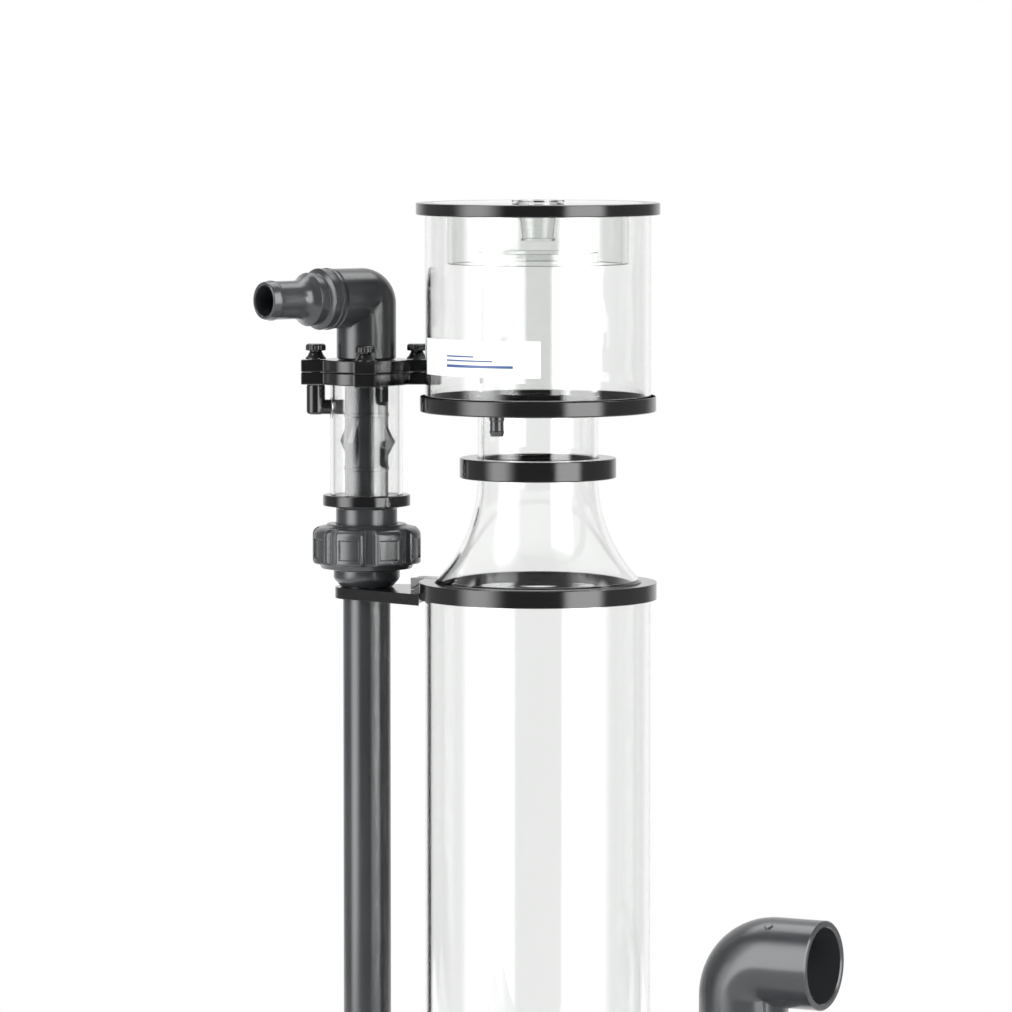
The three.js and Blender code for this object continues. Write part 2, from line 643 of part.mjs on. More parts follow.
function buildInlet() {
  const { height, swirlReach } = inlet;
  const swirlCentre = column.radius - column.wall - swirlReach - 5;
  const elbow = add(injectorGroup, "inlet_elbow",
    tightElbow(elbow32, elbow32.reach, elbow32.reach, pipe32.radius + gap), materials.grey);
  elbow.rotation.set(Math.PI, 0, injectorAngle + Math.PI, "ZYX");
  elbow.position.z = height;
  const swirl = add(skimmer, "swirl_elbow",
    tightElbow(elbow32, swirlReach, swirlReach, pipe32.radius + gap), materials.grey);
  swirl.position.set(swirlCentre * Math.cos(injectorAngle), swirlCentre * Math.sin(injectorAngle), height);
  swirl.rotation.set(Math.PI / 2, 0, injectorAngle, "ZXY");
  const from = swirlCentre + swirlReach - elbow32.socketDepth + gap;
  const to = injectorDistance - elbow32.reach + elbow32.socketDepth - gap;
  add(skimmer, "inlet_nipple",
    cut(lyingRod(pipe32.radius, from, to), lyingRod(pipe32.radius - pipe32.wall, from - 1, to + 1))
      .rotateZ(injectorAngle).translate(0, 0, height), materials.grey);
  add(skimmer, "inlet_saddle",
    saddle(inlet.saddle, inlet.saddleLength, pipe32.radius + gap, injectorAngle, height), materials.grey);
}

// ---- Outlet riser ---------------------------------------------------------------------------
function valveBody() {
  const { body, length, thread, bore, ball } = valve;
  const half = length / 2;
  const barrel = turned([
    [0, -half], [thread, -half], [thread, -half + valveNut.overlap + 1], [body, -half + valveNut.overlap + 1],
    [body, half - valveNut.overlap - 1], [thread, half - valveNut.overlap - 1], [thread, half], [0, half],
  ], fine);
  const boss = rod(stem.boss, 0, stem.bossReach, medium).rotateX(Math.PI / 2);
  const cavity = turned([
    [0, -half - 1], [bore + 4, -half - 1], [bore + 4, -half + 4], [ball + gap, -half + 6],
    [ball + gap, half - 6], [bore + 4, half - 4], [bore + 4, half + 1], [0, half + 1],
  ], medium);
  const stemHole = rod(stem.radius + slideGap, 0, stem.bossReach + 1, small).rotateX(Math.PI / 2);
  return cut(joined(barrel, boss), cavity, stemHole);
}

// The ball with its stem, the waterway along Z.
function valveBall() {
  const ball = new THREE.SphereGeometry(valve.ball - gap, medium, small);
  const spindle = rod(stem.radius, valve.ball - 6, stem.bossReach + 12, small).rotateX(Math.PI / 2);
  const reach = valve.ball + 1;
  return cut(joined(ball, spindle), rod(valve.bore, -reach, reach));
}

function valveSeat(side) {
  const { ball, bore, length } = valve;
  const contact = ball + gap;
  const at = (r) => Math.sqrt(contact * contact - r * r);
  const edge = ball - 2;
  const outer = length / 2 - 6;
  return turned([
    [bore + gap, side * at(bore + gap)], [bore + 2.5, side * at(bore + 2.5)], [edge, side * at(edge)],
    [edge, side * outer], [bore + gap, side * outer],
  ]);
}

function valveEndShape(side) {
  const { radius, length, shoulder } = valveEnd;
  const face = valve.length / 2 + gap;
  const socket = pipe50.radius + gap;
  const stop = face + 8;
  return turned([
    [valve.bore, side * face], [shoulder, side * face], [shoulder, side * (face + 5)],
    [radius, side * (face + 7)], [radius, side * (face + length)], [socket, side * (face + length)],
    [socket, side * stop], [valve.bore, side * stop],
  ]);
}

function handleShape() {
  const { radius, bossReach, handleHub, handleHeight, bar } = stem;
  const from = bossReach + slideGap;
  const hub = rod(handleHub, from, from + handleHeight, medium);
  const grip = new THREE.BoxGeometry(16, bar, handleHeight - 6)
    .translate(0, 0, from + handleHeight - (handleHeight - 6) / 2);
  const tips = [-1, 1].map((s) =>
    rod(11, from + 6, from + handleHeight, small).translate(0, (s * bar) / 2, 0));
  const hole = rod(radius + gap, from - 1, from + 12 + gap, small);
  return cut(joined(hub, grip, ...tips), hole).rotateX(Math.PI / 2);
}

function buildOutlet() {
  const { height, mouthHeight } = outlet;
  const { socketDepth } = elbow50;
  const waterway = pipe50.radius - pipe50.wall;
  const socket = pipe50.radius + gap;
  const low = add(outletGroup, "outlet_foot_elbow", sweptElbow(socket, waterway), materials.grey);
  low.rotation.set(Math.PI, 0, Math.PI, "ZYX");
  low.position.z = height;
  const top = add(
    outletGroup, "outlet_elbow", sweptElbow(pipe50.radius + slideGap, waterway), materials.grey);
  top.rotation.z = radians(outlet.heading);
  top.position.z = mouthHeight;
  const from = column.radius - column.wall - 10;
  const to = outletDistance - elbow50Reach + socketDepth - gap;
  add(skimmer, "outlet_nipple",
    cut(lyingRod(pipe50.radius, from, to), lyingRod(waterway, from - 1, to + 1)).translate(0, 0, height),
    materials.grey);
  add(skimmer, "outlet_saddle",
    saddle(outlet.saddle, outlet.saddleLength, socket, 0, height), materials.grey);

  const face = valve.length / 2 + gap;
  const stop = face + 8 + gap;
  add(outletGroup, "riser_lower",
    tube(pipe50.radius, waterway, height + elbow50Reach - socketDepth + gap, valve.centre - stop),
    materials.grey);
  add(outletGroup, "riser_upper",
    tube(pipe50.radius, waterway, valve.centre + stop, mouthHeight - elbow50Reach + socketDepth - gap),
    materials.grey);
  const inValve = (name, geometry, material) => {
    add(outletGroup, name, geometry, material).position.z = valve.centre;
  };
  inValve("valve_body", valveBody(), materials.grey);
  inValve("valve_ball", valveBall(), materials.seat);
  inValve("valve_handle", handleShape(), materials.black);
  for (const [side, word] of [[1, "upper"], [-1, "lower"]]) {
    inValve("valve_seat_" + word, valveSeat(side), materials.seat);
    inValve("valve_end_" + word, valveEndShape(side), materials.grey);
    const nut = lobedNut(valveNut, valveEnd.radius + slideGap, valve.thread + slideGap, 9);
    const start = valve.length / 2 - valveNut.overlap;
    inValve("valve_nut_" + word,
      side > 0 ? nut.translate(0, 0, start) : nut.rotateX(Math.PI).translate(0, 0, -start), materials.grey);
  }
}

buildColumn();
buildCup();
buildLid();
buildInletPipe();
buildInjector();
buildInlet();
buildOutlet();

export default skimmer;
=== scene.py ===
import json
import math
from functools import partial

import bpy
from mathutils import Euler, Matrix, Vector


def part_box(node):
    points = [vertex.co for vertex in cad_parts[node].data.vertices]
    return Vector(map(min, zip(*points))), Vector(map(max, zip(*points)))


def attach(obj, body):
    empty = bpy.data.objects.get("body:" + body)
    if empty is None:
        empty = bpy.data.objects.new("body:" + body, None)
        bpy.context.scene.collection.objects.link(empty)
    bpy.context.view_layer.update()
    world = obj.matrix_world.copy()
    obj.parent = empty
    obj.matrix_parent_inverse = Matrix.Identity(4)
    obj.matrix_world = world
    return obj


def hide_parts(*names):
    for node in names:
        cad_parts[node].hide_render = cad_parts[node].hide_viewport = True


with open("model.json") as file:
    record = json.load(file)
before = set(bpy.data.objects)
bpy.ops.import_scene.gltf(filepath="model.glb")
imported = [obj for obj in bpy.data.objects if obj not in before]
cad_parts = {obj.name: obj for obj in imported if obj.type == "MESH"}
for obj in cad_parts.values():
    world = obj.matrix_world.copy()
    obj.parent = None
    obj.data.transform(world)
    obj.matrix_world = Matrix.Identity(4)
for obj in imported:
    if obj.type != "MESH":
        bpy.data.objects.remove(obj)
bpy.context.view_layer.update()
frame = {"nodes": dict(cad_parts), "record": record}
record = frame["record"]
bodyOf = {node: body for body, nodes in record["behaviour"]["bodies"].items() for node in nodes}
slotOf = {part["node"]: part["material_slot"] for part in record["subparts"]}
jointAt = {joint["name"]: joint for joint in record["behaviour"]["joints"]}
mm = 0.001


# ---- places read from the frame, in millimetres
def low(node):
    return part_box(node)[0] / mm


def high(node):
    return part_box(node)[1] / mm


def radiusOf(node):
    return (high(node).x - low(node).x) / 2


def jointPlace(name):
    return Vector(jointAt[name]["pos_m"]) / mm


unionAxis = jointPlace("union_turn")
outletAxis = jointPlace("outlet_turn")
valveCentre = jointPlace("valve_turn")
injectorHeading = math.atan2(unionAxis.y, unionAxis.x)


# ---- finishes
def newFinish(name):
    finish = bpy.data.materials.new(name)
    finish.use_nodes = True
    nodes, links = finish.node_tree.nodes, finish.node_tree.links
    return finish, nodes, links, nodes["Principled BSDF"]


def addNode(nodes, kind, **values):
    node = nodes.new(kind)
    for key, value in values.items():
        if key in node.inputs:
            node.inputs[key].default_value = value
        else:
            setattr(node, key, value)
    return node


# A maths node fed with numbers or with other nodes' outputs.
def mathsNode(nodes, links, operation, *values):
    node = addNode(nodes, "ShaderNodeMath", operation=operation)
    for socket, value in zip(node.inputs, values):
        if hasattr(value, "is_output"):
            links.new(value, socket)
        else:
            socket.default_value = value
    return node.outputs[0]


def noiseAt(nodes, links, scale, stretch=(1, 1, 1), detail=3.0):
    coords = addNode(nodes, "ShaderNodeTexCoord")
    mapping = addNode(nodes, "ShaderNodeMapping", Scale=stretch)
    noise = addNode(nodes, "ShaderNodeTexNoise", Scale=scale, Detail=detail)
    links.new(coords.outputs["Object"], mapping.inputs["Vector"])
    links.new(mapping.outputs["Vector"], noise.inputs["Vector"])
    return noise


def spread(nodes, links, source, lowest, highest):
    band = addNode(nodes, "ShaderNodeMapRange")
    band.inputs["From Min"].default_value = 0.3
    band.inputs["From Max"].default_value = 0.7
    band.inputs["To Min"].default_value = lowest
    band.inputs["To Max"].default_value = highest
    links.new(source.outputs["Fac"], band.inputs["Value"])
    return band.outputs["Result"]


def tint(nodes, links, source, dark, light):
    ramp = addNode(nodes, "ShaderNodeValToRGB")
    ramp.color_ramp.elements[0].position = 0.32
    ramp.color_ramp.elements[0].color = (*dark, 1)
    ramp.color_ramp.elements[1].position = 0.7
    ramp.color_ramp.elements[1].color = (*light, 1)
    links.new(source.outputs["Fac"], ramp.inputs["Fac"])
    return ramp.outputs["Color"]


def roughen(nodes, links, shader, source, strength, distance):
    bump = addNode(nodes, "ShaderNodeBump", Strength=strength, Distance=distance)
    links.new(source.outputs["Fac"], bump.inputs["Height"])
    links.new(bump.outputs["Normal"], shader.inputs["Normal"])


def plasticFinish(name, look):
    finish, nodes, links, shader = newFinish(name)
    cloud = noiseAt(nodes, links, look["cloud"])
    grain = noiseAt(nodes, links, look["grain"], look.get("stretch", (1, 1, 1)), 5.0)
    links.new(tint(nodes, links, cloud, look["dark"], look["light"]), shader.inputs["Base Color"])
    links.new(spread(nodes, links, grain, *look["roughness"]), shader.inputs["Roughness"])
    shader.inputs["IOR"].default_value = look["ior"]
    shader.inputs["Coat Weight"].default_value = look.get("coat", 0.0)
    shader.inputs["Coat Roughness"].default_value = 0.08
    roughen(nodes, links, shader, grain, look["bump"], look["depth"])
    return finish


def acrylicFinish(name, look):
    finish, nodes, links, shader = newFinish(name)
    wipe = noiseAt(nodes, links, look["wipe"], (1, 1, 0.15), 4.0)
    links.new(tint(nodes, links, wipe, look["dark"], look["light"]), shader.inputs["Base Color"])
    links.new(spread(nodes, links, wipe, *look["roughness"]), shader.inputs["Roughness"])
    shader.inputs["IOR"].default_value = look["ior"]
    shader.inputs["Transmission Weight"].default_value = 1.0
    return finish


def labelFinish(name, look):
    finish, nodes, links, shader = newFinish(name)
    coords = addNode(nodes, "ShaderNodeTexCoord")
    parts = addNode(nodes, "ShaderNodeSeparateXYZ")
    links.new(coords.outputs["Object"], parts.inputs["Vector"])
    maths = partial(mathsNode, nodes, links)

    # along: millimetres round the wall from the label's middle; up: millimetres from its lower edge
    angle = maths("ARCTAN2", parts.outputs["Y"], parts.outputs["X"])
    along = maths("MULTIPLY", maths("SUBTRACT", angle, math.radians(look["middle"])), look["radius"])
    up = maths("MULTIPLY_ADD", parts.outputs["Z"], 1 / mm, -look["bottom"])

    def between(value, centre, half):
        return maths("COMPARE", value, centre, half)

    marks = None
    for x, y, halfX, halfY in look["bars"]:
        bar = maths("MULTIPLY", between(along, x, halfX), between(up, y, halfY))
        marks = bar if marks is None else maths("MAXIMUM", marks, bar)
    paper = noiseAt(nodes, links, 900.0)
    mix = addNode(nodes, "ShaderNodeMix", data_type="RGBA")
    mix.inputs[7].default_value = (*look["ink"], 1)
    links.new(marks, mix.inputs[0])
    links.new(tint(nodes, links, paper, look["dark"], look["light"]), mix.inputs[6])
    links.new(mix.outputs[2], shader.inputs["Base Color"])
    links.new(spread(nodes, links, paper, 0.3, 0.42), shader.inputs["Roughness"])
    roughen(nodes, links, shader, paper, 0.05, 0.0002)
    return finish


greyLook = {
    "dark": (0.030, 0.032, 0.035), "light": (0.038, 0.040, 0.043), "cloud": 14.0, "grain": 420.0,
    "roughness": (0.17, 0.25), "ior": 1.54, "bump": 0.04, "depth": 0.0002,
}
pipeLook = dict(greyLook, grain=600.0, stretch=(1, 1, 0.02), bump=0.05)
blackLook = {
    "dark": (0.006, 0.006, 0.0065), "light": (0.010, 0.010, 0.0105), "cloud": 9.0, "grain": 260.0,
    "roughness": (0.09, 0.15), "ior": 1.49, "bump": 0.02, "depth": 0.0001,
}
# black acrylic with its reflection taken out (IOR 1.0) and rougher, for upward faces: painted shade, the real
# tops are glossy
shadedTopLook = dict(blackLook, roughness=(0.35, 0.5), ior=1.0, bump=0.05)
rubberLook = dict(blackLook, roughness=(0.6, 0.75), bump=0.2)
nylonLook = dict(greyLook, dark=(0.50, 0.50, 0.48), light=(0.62, 0.62, 0.59), roughness=(0.4, 0.5))
seatLook = dict(nylonLook, dark=(0.76, 0.76, 0.73), light=(0.84, 0.84, 0.81))
ballLook = dict(greyLook, dark=(0.16, 0.16, 0.165), light=(0.2, 0.2, 0.205), roughness=(0.1, 0.18))
handleLook = dict(
    greyLook, dark=(0.012, 0.012, 0.013), light=(0.020, 0.020, 0.021), grain=900.0,
    roughness=(0.38, 0.52), bump=0.22,
)
acrylicLook = {
    "dark": (0.955, 0.962, 0.956), "light": (0.980, 0.984, 0.978), "wipe": 16.0,
    "roughness": (0.0, 0.02), "ior": 1.49,
}
sawnLook = {
    "dark": (0.16, 0.17, 0.165), "light": (0.26, 0.27, 0.265), "wipe": 160.0,
    "roughness": (0.35, 0.5), "ior": 1.49,
}
labelLook = {
    "radius": 75.5, "middle": -127.0, "bottom": low("cup_label").z,
    "dark": (0.62, 0.64, 0.68), "light": (0.70, 0.72, 0.75), "ink": (0.03, 0.07, 0.20),
    "bars": [(6, 7.0, 26, 0.9), (-1, 10.6, 19, 0.5), (-8, 13.4, 12, 0.5)],
}
finishes = {
    "clear_acrylic": acrylicFinish("clearAcrylic", acrylicLook),
    "black_acrylic": plasticFinish("blackAcrylic", blackLook),
    "grey_pvc": plasticFinish("greyPvc", greyLook),
    "ball_pvc": plasticFinish("ballPvc", ballLook),
    "handle_plastic": plasticFinish("handlePlastic", handleLook),
    "seat_plastic": plasticFinish("seatPlastic", seatLook),
    "seal_rubber": plasticFinish("sealRubber", rubberLook),
    "screw_nylon": plasticFinish("screwNylon", nylonLook),
    "label_film": labelFinish("labelFilm", labelLook),
}
pipeFinish = plasticFinish("greyPipe", pipeLook)
shadedTopFinish = plasticFinish("shadedTopAcrylic", shadedTopLook)
sawnFinish = acrylicFinish("sawnAcrylic", sawnLook)
print("finishes ready")


# ---- ways of working
def deselectAll():
    if bpy.context.object and bpy.context.object.mode != "OBJECT":
        bpy.ops.object.mode_set(mode="OBJECT")
    bpy.ops.object.select_all(action="DESELECT")


def pick(piece):
    deselectAll()
    piece.select_set(True)
    bpy.context.view_layer.objects.active = piece


# Opens a piece in edit mode with only the faces selected that pass the test.
def openOn(piece, test):
    pick(piece)
    bpy.ops.object.mode_set(mode="EDIT")
    bpy.ops.mesh.select_mode(type="FACE")
    bpy.ops.mesh.select_all(action="DESELECT")
    bpy.ops.object.mode_set(mode="OBJECT")
    for face in piece.data.polygons:
        face.select = test(face.center / mm, face.normal)
    bpy.ops.object.mode_set(mode="EDIT")


def closeUp():
    bpy.ops.mesh.select_mode(type="VERT")
    bpy.ops.mesh.select_all(action="SELECT")
    bpy.ops.mesh.remove_doubles(threshold=1e-6)
    bpy.ops.mesh.normals_make_consistent(inside=False)
    bpy.ops.object.mode_set(mode="OBJECT")


def settle(piece, place=(0, 0, 0), turn=(0, 0, 0)):
    pick(piece)
    piece.rotation_euler = Euler(turn)
    piece.location = Vector(place) * mm
    bpy.ops.object.transform_apply(location=True, rotation=True, scale=True)
    return piece


# A turned piece about an upright axis: rings are (radius, height), from a first ring round to itself.
# With solid, the first and last rings are closed by flat faces.
def turned(name, rings, at=(0, 0), sides=96, solid=False):
    deselectAll()
    path = rings if solid else rings + rings[:1]
    radius, height = path[0]
    bpy.ops.mesh.primitive_circle_add(
        vertices=sides, radius=radius * mm, fill_type="NGON" if solid else "NOTHING",
        location=(at[0] * mm, at[1] * mm, height * mm))
    piece = bpy.context.object
    piece.name = name
    bpy.ops.object.mode_set(mode="EDIT")
    for (r0, z0), (r1, z1) in zip(path, path[1:]):
        bpy.ops.mesh.extrude_region_move(TRANSFORM_OT_translate={"value": (0, 0, (z1 - z0) * mm)})
        bpy.ops.transform.resize(
            value=(r1 / r0, r1 / r0, 1), center_override=(at[0] * mm, at[1] * mm, z1 * mm))
    closeUp()
    bpy.ops.object.transform_apply(location=True, rotation=True, scale=True)
    return piece


def tubeRings(outer, inner, bottom, top, rows=()):
    up = [(outer, z) for z in rows]
    down = [(inner, z) for z in rows[::-1]]
    return [(inner, bottom), (outer, bottom)] + up + [(outer, top), (inner, top)] + down


# The same, lying: heights become distances from a point along a heading.
def turnedLying(name, rings, place, heading, **options):
    return settle(turned(name, rings, **options), place, (0, math.pi / 2, heading))


def block(name, size, place, heading=0.0):
    deselectAll()
    bpy.ops.mesh.primitive_cube_add(size=1)
    piece = bpy.context.object
    piece.name = name
    piece.scale = Vector(size) * mm
    return settle(piece, place, (0, 0, heading))


def combine(piece, other, operation):
    pick(piece)
    step = piece.modifiers.new(operation.lower(), "BOOLEAN")
    step.operation = operation
    step.solver = "EXACT"
    step.object = other
    bpy.ops.object.modifier_apply(modifier=step.name)
    bpy.data.objects.remove(other)
    return piece


def roundEdges(piece, width, segments=3, angle=32):
    pick(piece)
    step = piece.modifiers.new("edges", "BEVEL")
    step.width = width * mm
    step.segments = segments
    step.limit_method = "ANGLE"
    step.angle_limit = math.radians(angle)
    step.harden_normals = False
    bpy.ops.object.modifier_apply(modifier=step.name)
    return piece


def copyOf(piece, name, offset=(0, 0, 0)):
    twin = piece.copy()
    twin.data = piece.data.copy()
    twin.name = name
    bpy.context.scene.collection.objects.link(twin)
    return settle(twin, offset)


# A copy of a CAD piece, its triangles merged back into flat faces.
def copyOfNode(name, node):
    source = frame["nodes"][node]
    piece = bpy.data.objects.new(name, source.data.copy())
    bpy.context.scene.collection.objects.link(piece)
    pick(piece)
    bpy.ops.object.mode_set(mode="EDIT")
    bpy.ops.mesh.select_all(action="SELECT")
    bpy.ops.mesh.remove_doubles(threshold=2e-6)
    bpy.ops.mesh.dissolve_limited(angle_limit=math.radians(1))
    bpy.ops.object.mode_set(mode="OBJECT")
    return piece


def smooth(piece, angle=34):
    pick(piece)
    bpy.ops.object.shade_smooth_by_angle(angle=math.radians(angle))
    step = piece.modifiers.new("normals", "WEIGHTED_NORMAL")
    step.keep_sharp = True
    step.weight = 60
    bpy.ops.object.modifier_apply(modifier=step.name)


# The faces that pass the test get one more finish.
def refinish(piece, finish, test):
    piece.data.materials.append(finish)
    for face in piece.data.polygons:
        if test(face.center / mm, face.normal):
            face.material_index = len(piece.data.materials) - 1


def sawnRims(piece):
    refinish(piece, sawnFinish, lambda place, normal: abs(normal.z) > 0.25)


def fit(piece, node, edge=0.0, finish=None, segments=3):
    if edge:
        roundEdges(piece, edge, segments)
    smooth(piece)
    piece.data.materials.clear()
    piece.data.materials.append(finish or finishes[slotOf[node]])
    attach(piece, bodyOf[node])
    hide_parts(node)
    return piece


# ---- column
columnSizes = {
    "wall": 3.5, "plateCorner": 22.0, "ringBore": 75.3, "inletHole": 16.3, "outletHole": 25.3,
    "extraRows": (40.0, 108.0),  # heights of rows of points just below and above the holes
}


def makeColumn():
    lowest, highest = low("base_plate"), high("base_plate")
    size, middle = highest - lowest, (highest + lowest) / 2
    plate = block("basePlate", size, middle)
    bpy.ops.object.mode_set(mode="EDIT")
    bpy.ops.mesh.select_mode(type="EDGE")
    bpy.ops.mesh.select_all(action="DESELECT")
    bpy.ops.object.mode_set(mode="OBJECT")
    for edge in plate.data.edges:
        a, b = (plate.data.vertices[i].co for i in edge.vertices)
        edge.select = abs(a.z - b.z) > 1e-4
    bpy.ops.object.mode_set(mode="EDIT")
    bpy.ops.mesh.bevel(offset=columnSizes["plateCorner"] * mm, segments=14, affect="EDGES")
    closeUp()
    fit(plate, "base_plate", 1.2)

    bottom, top = low("foot_ring").z, high("foot_ring").z
    fit(turned("footRing", tubeRings(radiusOf("foot_ring"), columnSizes["ringBore"], bottom, top), sides=128),
        "foot_ring", 1.0)

    outer = radiusOf("column_tube")
    column = turned("columnTube", tubeRings(
        outer, outer - columnSizes["wall"], low("column_tube").z, high("column_tube").z,
        columnSizes["extraRows"]), sides=160)
    for pipe, radius, heading in (("inlet_nipple", columnSizes["inletHole"], injectorHeading),
                                  ("outlet_nipple", columnSizes["outletHole"], 0.0)):
        height = (low(pipe).z + high(pipe).z) / 2
        rings = [(radius, 40), (radius, 110)]
        combine(column, turnedLying("hole", rings, (0, 0, height), heading, solid=True, sides=64),
                "DIFFERENCE")
    sawnRims(fit(column, "column_tube", 0.35, segments=2))
    print("column done")


boltSizes = {"head": 4.6, "shank": 2.5, "seat": 25.6, "socket": 2.3, "socketDepth": 2.4}


def makeBolts():
    bottom, top, seat = low("foot_bolt_1").z, high("foot_bolt_1").z, boltSizes["seat"]
    head, shank = boltSizes["head"], boltSizes["shank"]
    first = turned("boltPattern", [
        (shank, bottom), (shank, seat), (head, seat), (head, top - 0.7), (head - 0.7, top)],
        sides=40, solid=True)
    combine(first, turned("socket", [
        (boltSizes["socket"], top - boltSizes["socketDepth"]), (boltSizes["socket"], top + 1)],
        sides=6, solid=True), "DIFFERENCE")
    for number in range(1, 5):
        node = "foot_bolt_%d" % number
        middle = (low(node) + high(node)) / 2
        fit(copyOf(first, "footBolt%d" % number, (middle.x, middle.y, 0)), node, 0.25, segments=2)
    bpy.data.objects.remove(first)
    print("bolts done")


ringSizes = {
    "bore": 65.0, "seat": 75.3, "plate": 7.5, "tabWidth": 18.0, "tabReach": 11.0,
    "screwShank": 2.4, "screwHead": 4.5, "screwSocket": 1.9,
}


def makeTopRing():
    outer, bottom, top = high("top_ring").x, low("top_ring").z, high("top_ring").z
    bore, seat, shelf = ringSizes["bore"], ringSizes["seat"], top - ringSizes["plate"]
    ring = turned("topRing", [
        (bore, shelf), (seat, shelf), (seat, bottom), (outer, bottom), (outer, top), (bore, top)], sides=160)
    length = ringSizes["tabReach"] + 6
    distance = outer + ringSizes["tabReach"] - length / 2
    tab = block("tab", (length, ringSizes["tabWidth"], ringSizes["plate"]), (
        distance * math.cos(injectorHeading), distance * math.sin(injectorHeading), (shelf + top) / 2),
        injectorHeading)
    fit(combine(ring, tab, "UNION"), "top_ring", 0.9)

    screwAt = (low("bracket_screw") + high("bracket_screw")) / 2
    top = high("bracket_screw").z
    at = (screwAt.x, screwAt.y)
    shank, head, socket = ringSizes["screwShank"], ringSizes["screwHead"], ringSizes["screwSocket"]
    screw = turned("bracketScrew", [
        (shank, low("bracket_screw").z), (shank, top - 2.2), (head, top), (head - 0.4, top + 0.5)],
        at, 32, True)
    combine(screw, turned("socket", [(socket, top - 1.6), (socket, top + 2)], at, 6, True), "DIFFERENCE")
    fit(screw, "bracket_screw", 0.2, segments=2)
    fit(copyOfNode("pipeBracket", "pipe_bracket"), "pipe_bracket", 0.8)
    print("top ring done")


bellSizes = {
    "foot": 69.0, "neck": 40.0, "wall": 3.0, "steps": 22,
    "collarBore": 40.5, "grooveHeight": 10.0, "groove": 1.6,
}


def makeBell():
    bottom, top, seat = low("bell_reducer").z, high("bell_reducer").z, low("neck_collar").z
    neck, wall, steps = bellSizes["neck"], bellSizes["wall"], bellSizes["steps"]
    rise, flare = seat - bottom, bellSizes["foot"] - neck
    sweep = (rise * rise + flare * flare) / (2 * flare)
    centre = neck + sweep

    def arc(radius):
        turn = math.asin(rise / radius)
        return [(centre - radius * math.cos(turn * i / steps), seat - radius * math.sin(turn * i / steps))
                for i in range(steps + 1)]

    rings = [(neck - wall, top)] + arc(sweep + wall) + arc(sweep)[::-1] + [(neck, top)]
    fit(turned("bellReducer", rings, sides=144), "bell_reducer", 0.3, segments=2)

    bore, outer = bellSizes["collarBore"], radiusOf("neck_collar")
    bottom, top = low("neck_collar").z, high("neck_collar").z
    middle, groove = bottom + bellSizes["grooveHeight"], bellSizes["groove"]
    fit(turned("neckCollar", [
        (bore, bottom), (outer, bottom), (outer, top), (bore, top), (bore, middle + groove),
        (bore + 2 * groove, middle + groove), (bore + 2 * groove, middle - groove), (bore, middle - groove)],
        sides=144), "neck_collar", 0.9)
    print("bell and collar done")


# ---- foam cup and lid
cupSizes = {"wall": 3.5, "neckWall": 3.0, "baseBore": 40.3, "drainHole": 5.3, "drainBore": 3.25}


def makeCup():
    outer = radiusOf("cup_wall")
    sawnRims(fit(turned("cupWall", tubeRings(
        outer, outer - cupSizes["wall"], low("cup_wall").z, high("cup_wall").z), sides=160),
        "cup_wall", 0.35, segments=2))
    outer = radiusOf("neck_tube")
    sawnRims(fit(turned("neckTube", tubeRings(
        outer, outer - cupSizes["neckWall"], low("neck_tube").z, high("neck_tube").z), sides=128),
        "neck_tube", 0.3, segments=2))

    drain = (low("drain_nozzle") + high("drain_nozzle")) / 2
    bottom, top = low("cup_base").z, high("cup_base").z
    base = turned("cupBase", tubeRings(radiusOf("cup_base"), cupSizes["baseBore"], bottom, top), sides=160)
    roundEdges(base, 1.0)
    combine(base, turned("hole", [(cupSizes["drainHole"], bottom - 2), (cupSizes["drainHole"], top + 2)],
                         (drain.x, drain.y), 40, True), "DIFFERENCE")
    fit(base, "cup_base")
    # the upward faces lose their reflection and read darker: painted shade
    refinish(base, shadedTopFinish, lambda place, normal: normal.z > 0.9)

    bore, outer = cupSizes["drainBore"], radiusOf("drain_nozzle")
    bottom, top = low("drain_nozzle").z, high("drain_nozzle").z
    fit(turned("drainNozzle", [
        (bore, bottom), (outer - 0.9, bottom), (outer, bottom + 3.2), (outer - 0.5, bottom + 3.6),
        (outer - 0.5, bottom + 10), (outer, bottom + 10.4), (outer, top), (bore, top)],
        (drain.x, drain.y), 48), "drain_nozzle", 0.25, segments=2)
    print("cup done")


labelSizes = {"inner": 75.3, "thickness": 0.6, "from": -165.0, "to": -89.0, "steps": 40}


def makeLabel():
    bottom, top = low("cup_label").z, high("cup_label").z
    inner, start, end = labelSizes["inner"], math.radians(labelSizes["from"]), math.radians(labelSizes["to"])
    middle = inner + labelSizes["thickness"] / 2
    label = block("cupLabel", (labelSizes["thickness"], 0.02, top - bottom), (0, 0, 0))
    settle(label, (middle * math.cos(start), middle * math.sin(start), (bottom + top) / 2), (0, 0, start))
    forward = Vector((-math.sin(start), math.cos(start), 0))
    openOn(label, lambda place, normal: normal.dot(forward) > 0.9)
    bpy.ops.mesh.spin(steps=labelSizes["steps"], angle=start - end, center=(0, 0, 0), axis=(0, 0, 1))
    closeUp()
    fit(label, "cup_label")
    print("label done")


lidSizes = {
    "bore": 66.0, "inside": 71.0, "outside": 75.5, "groove": 3.0, "rebate": 70.0, "discBore": 15.0,
    "sleeveWall": 3.0, "stopperLip": 17.5, "throat": 14.5, "tip": 11.3, "stopperWall": 1.6,
}


